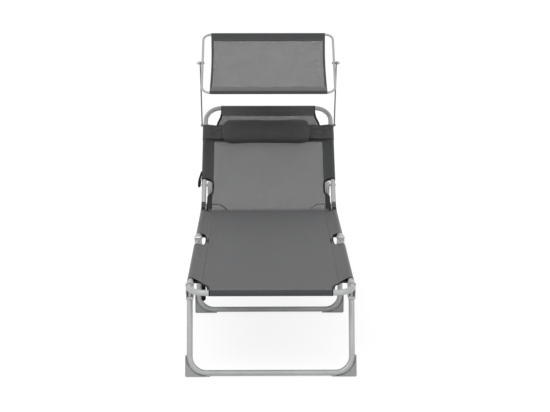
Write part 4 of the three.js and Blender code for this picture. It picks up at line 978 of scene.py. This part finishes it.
def stuffed(made, voxel, pressure, cap, frames=20):
    """Lets a cover fill under its stuffing: even faces, then cloth blown out by pressure without gravity.
    No point moves further than cap."""
    even = made.modifiers.new("Even faces", "REMESH")
    even.mode = "VOXEL"
    even.voxel_size = voxel
    mesh = baked(made)
    before = mesh_points(mesh)
    cloth = made.modifiers.new("Filling", "CLOTH")
    fabric = cloth.settings
    fabric.use_pressure, fabric.uniform_pressure_force = True, pressure
    fabric.effector_weights.gravity = 0
    fabric.tension_stiffness, fabric.compression_stiffness, fabric.bending_stiffness = 25, 12, 0.3
    fabric.mass, fabric.quality = 0.2, 6
    cloth.point_cache.frame_end = frames
    for frame_number in range(1, frames + 1):
        scene.frame_set(frame_number)
    mesh = baked(made)
    scene.frame_set(1)
    move = mesh_points(mesh) - before
    far = np.linalg.norm(move, axis=1, keepdims=True)
    after = before + move * np.minimum(1, cap / np.maximum(far, 1e-9))
    mesh.vertices.foreach_set("co", after.astype(np.float32).ravel())
    mesh.update()


def pillow():
    """The head pillow: a bolster whose outline and section are squared rounds, x = L·|cos a|^0.22 and
    girth (sin a)^0.42, filled by simulation. Its end seams are drawn in by d·exp(-((|x| - seam)/w)²), with
    puckers d·sin(28·b) that fade over 12 mm."""
    lying, middle, lift, off = 0.0126, 0.391, 0.022, -0.009
    long, tall, high, low = 0.190, 0.0615, 0.0285, 0.0215
    a = np.linspace(0, math.pi, 90)[:, None]
    b = full_turn(72)
    x = long * powered(np.cos(a), 0.22)
    girth = np.sin(a) ** 0.42
    t = tall * girth * powered(np.cos(b), 0.54)
    up = np.where(np.sin(b) > 0, high, low) * girth * powered(np.sin(b), 0.54)
    shape = grid(on_back(off + x, middle + t, lying + lift + up), wrap=True)
    made = solid("head_pillow_cover", [shape], COVER)
    stuffed(made, 0.0045, 4.0, 0.007)
    finer = made.modifiers.new("Finer faces", "SUBSURF")
    finer.levels = finer.render_levels = 1
    mesh = baked(made)
    p = mesh_points(mesh) - on_back(off, middle, lying + lift)
    x, t, n = p @ ACROSS, p @ ALONG, p @ FACE
    b = np.arctan2(n, t)
    seam = 0.178
    line = np.exp(-(((np.abs(x) - seam) / 0.0024) ** 2))
    pucker = np.exp(-np.abs(np.abs(x) - seam) / 0.012) * np.sin(28 * b + 2 * np.sin(3 * b))
    slack = np.sin(x * 34 + 4 * t / tall) * np.sin(t * 90) * np.exp(-((x / 0.16) ** 4))
    size = 1 - (0.0012 * line + 0.0005 * pucker + 0.0007 * slack) / np.maximum(np.hypot(t, n), 0.012)
    t, n = t * size, n * size
    n = np.maximum(n, 0.0004 - lift)
    placed = on_back(off + x, middle + t, lying + lift + n)
    mesh.vertices.foreach_set("co", placed.astype(np.float32).ravel())
    layer = mesh.uv_layers.get("UVMap") or mesh.uv_layers.new(name="UVMap")
    corner = np.empty(len(mesh.loops), np.int32)
    mesh.loops.foreach_get("vertex_index", corner)
    around = np.where(np.abs(n) > 0.6 * np.abs(t), t, n)
    layer.data.foreach_set("uv", pairs(x, around)[corner].astype(np.float32).ravel())
    mesh.polygons.foreach_set("use_smooth", np.ones(len(mesh.polygons), bool))
    mesh.update()
    fitted(made, "head_pillow", "pillow_cloth", "pillow")


def pillow_band():
    """Band round the back section: straight runs in front and behind, half circles round the side tubes.
    Its front is creased where it leaves the pillow: sums of sines, strongest beside the pillow's ends."""
    radius, w, low, high = 0.0122, HALF_WIDTH, 0.371, 0.447
    a = np.linspace(-math.pi / 2, math.pi / 2, 16)
    right = pairs(w + radius * np.cos(a), radius * np.sin(a))
    front = pairs(np.linspace(w, -w, 150)[1:-1], radius)
    left = pairs(-w - radius * np.cos(a), -radius * np.sin(a))
    section = np.vstack([right, front, left, front * (-1, -1)])
    across, height = section.T
    t = np.linspace(low, high, 30)[:, None]
    run = (t - low) / (high - low)
    near_ends = np.exp(-(((np.abs(across) - 0.222) / 0.028) ** 2))
    creases = np.sin(across * 260 + 9 * run) * 0.5 + np.sin(run * 19 + across * 55)
    creases = creases + np.sin(across * 120 - 14 * run)
    rolled = 0.0011 * (np.exp(-((run / 0.05) ** 2)) + np.exp(-(((1 - run) / 0.05) ** 2)))
    lift = (0.0004 + 0.0010 * near_ends) * creases * np.sin(np.pi * run) ** 0.5 + rolled
    slack = 0.0045 * np.exp(-(((np.abs(across) - 0.228) / 0.018) ** 2))
    lift = np.where(height > 0, np.maximum(lift, -0.0002) - slack, 0)
    uv = pairs(np.append(lengths(section), 1.18), t)
    shape = grid(on_back(across, t, height + lift), wrap=True, uv=uv)
    made = cloth_piece("head_band", shape, BAND, 0.0007)
    fitted(made, "head_pillow", "pillow_cloth", "pillow_band")


def webbing():
    """The tie strap: a tab below the foot cloth, a tight turn, then a hanging run with a slow twist and a
    round end. The loop: a tape along the outline of a drop, one turn at the hip."""
    x, y, top = -0.25, FRONT_Y + FOOT_LENGTH - 0.123, BED_HEIGHT - 0.0024
    tab_run, drop, half = 0.034, 0.199, 0.0085
    t = np.linspace(0, 1, 12)[:, None]
    tab = np.hstack([0 * t + x, y + tab_run * (1 - t), top + 0 * t])
    d = np.linspace(0, 1, 90)[1:, None]
    hang = np.hstack([0 * d + x, y + 0.0008 + 0.004 * np.sin(d * 4) * d, top - 0.0008 - drop * d])
    line = np.vstack([tab, hang])
    turn = np.concatenate([np.zeros(12), 0.3 * np.sin(d[:, 0] * 2.2)])
    across = np.stack([np.cos(turn), np.sin(turn), 0 * turn], -1)
    left = np.concatenate([np.full(12, drop), drop * (1 - d[:, 0])])
    round_end = np.sqrt(np.clip(1 - (1 - np.minimum(left / half, 1)) ** 2, 0.02, 1))
    share = np.linspace(-1, 1, 7)[None, :, None]
    p = line[:, None] + across[:, None] * share * half * round_end[:, None, None]
    shape = grid(p, uv=pairs(half * share[..., 0], lengths(line)[:, None]))
    strap = cloth_piece("foot_tie_strap", shape, WEBBING, 0.0015)
    fitted(strap, "foot", "webbing", "tie_strap")
    edge, reach, start, height, half = HALF_WIDTH + 0.0130, 0.0090, 0.1265, 0.0705, 0.0088
    shares = [(0, 1), (0.5, 0.84), (0.9, 0.5), (1, 0.2), (0.96, 0.06), (0.82, 0), (0.5, 0), (0.34, 0.05)]
    shares += [(0.3, 0.14), (0.17, 0.5), (0.02, 0.94)]
    outline = smooth_line([(-edge - a * reach, start + b * height) for a, b in shares])
    q = np.linspace(-1, 1, 9)
    turned = 0.0042 * q * np.clip((-edge - outline[:, :1]) / reach, 0, 1)
    p = on_back(outline[:, :1] + turned, outline[:, 1:], half * q)
    shape = grid(p, uv=pairs(half * q, lengths(p[:, 0])[:, None]))
    loop = cloth_piece("hip_webbing_loop", shape, WEBBING, 0.0032)
    fitted(loop, "back", "webbing", "hip_loop")


# Stage


def pale_floor():
    """Nearly white to the camera, with faint shadows, and a plain light grey to every other ray."""
    made, tree, bsdf = shader("Pale floor", Roughness=0.9, Specular_IOR_Level=0.0)
    seen = node(tree, "ShaderNodeLightPath")["Is Camera Ray"]
    colour = mixed(tree, seen, (0.9, 0.9, 0.9), (0.22, 0.22, 0.22))
    glow = maths(tree, "MULTIPLY", seen, 0.80)
    feed(tree, bsdf, Base_Color=colour, Emission_Color=(1, 1, 1, 1), Emission_Strength=glow)
    return made


def studio():
    corners = np.array([[(-40, -40, 0), (40, -40, 0)], [(-40, 60, 0), (40, 60, 0)]], float)
    piece("floor", [grid(corners)], pale_floor())
    world = bpy.data.worlds.new("Studio")
    scene.world = world
    world.use_nodes = True
    light = world.node_tree.nodes["Background"].inputs
    light["Color"].default_value, light["Strength"].default_value = (1, 1, 1, 1), 1.0
    aim = Vector((0, 0.1, 0.4))
    for name, spot, power in (("key", (-2.2, -3.4, 4.2), 90), ("fill", (2.6, -2.8, 3.0), 35)):
        lamp = bpy.data.lights.new(name, "AREA")
        lamp.size, lamp.energy = 3.0, power
        holder = bpy.data.objects.new(name, lamp)
        holder.location = spot
        holder.rotation_euler = (aim - Vector(spot)).to_track_quat("-Z", "Y").to_euler()
        scene.collection.objects.link(holder)
    scene.view_settings.view_transform = "Standard"


def camera():
    lens = bpy.data.cameras.new("camera")
    lens.sensor_width = 36
    lens.lens = 1410.2 / 550 * lens.sensor_width  # 1410.2 of 550 pixels
    lens.clip_end = 200
    view = bpy.data.objects.new("camera", lens)
    pitch, yaw = math.radians(12.164), math.radians(0.571)
    way = Vector((math.sin(yaw) * math.cos(pitch), math.cos(yaw) * math.cos(pitch), -math.sin(pitch)))
    view.location = (-0.0315, -5.3719, 1.5710)
    view.rotation_euler = way.to_track_quat("-Z", "Y").to_euler()
    scene.collection.objects.link(view)
    scene.camera = view


steel_pieces()
section_frames()
leg("front_leg", joint["front_leg_fold"], math.radians(17.5))
leg("middle_leg", joint["middle_leg_fold"], math.radians(1.7))
rear_drop = BED_HEIGHT + REAR_PIN * math.sin(LEAN)
leg("rear_leg", joint["rear_leg_swing"], math.radians(-4), 0.252, 0.009, rear_drop)
canopy_metal()
bed_cloth()
canopy_cloth()
pillow()
pillow_band()
webbing()
studio()
camera()
bpy.context.view_layer.update()
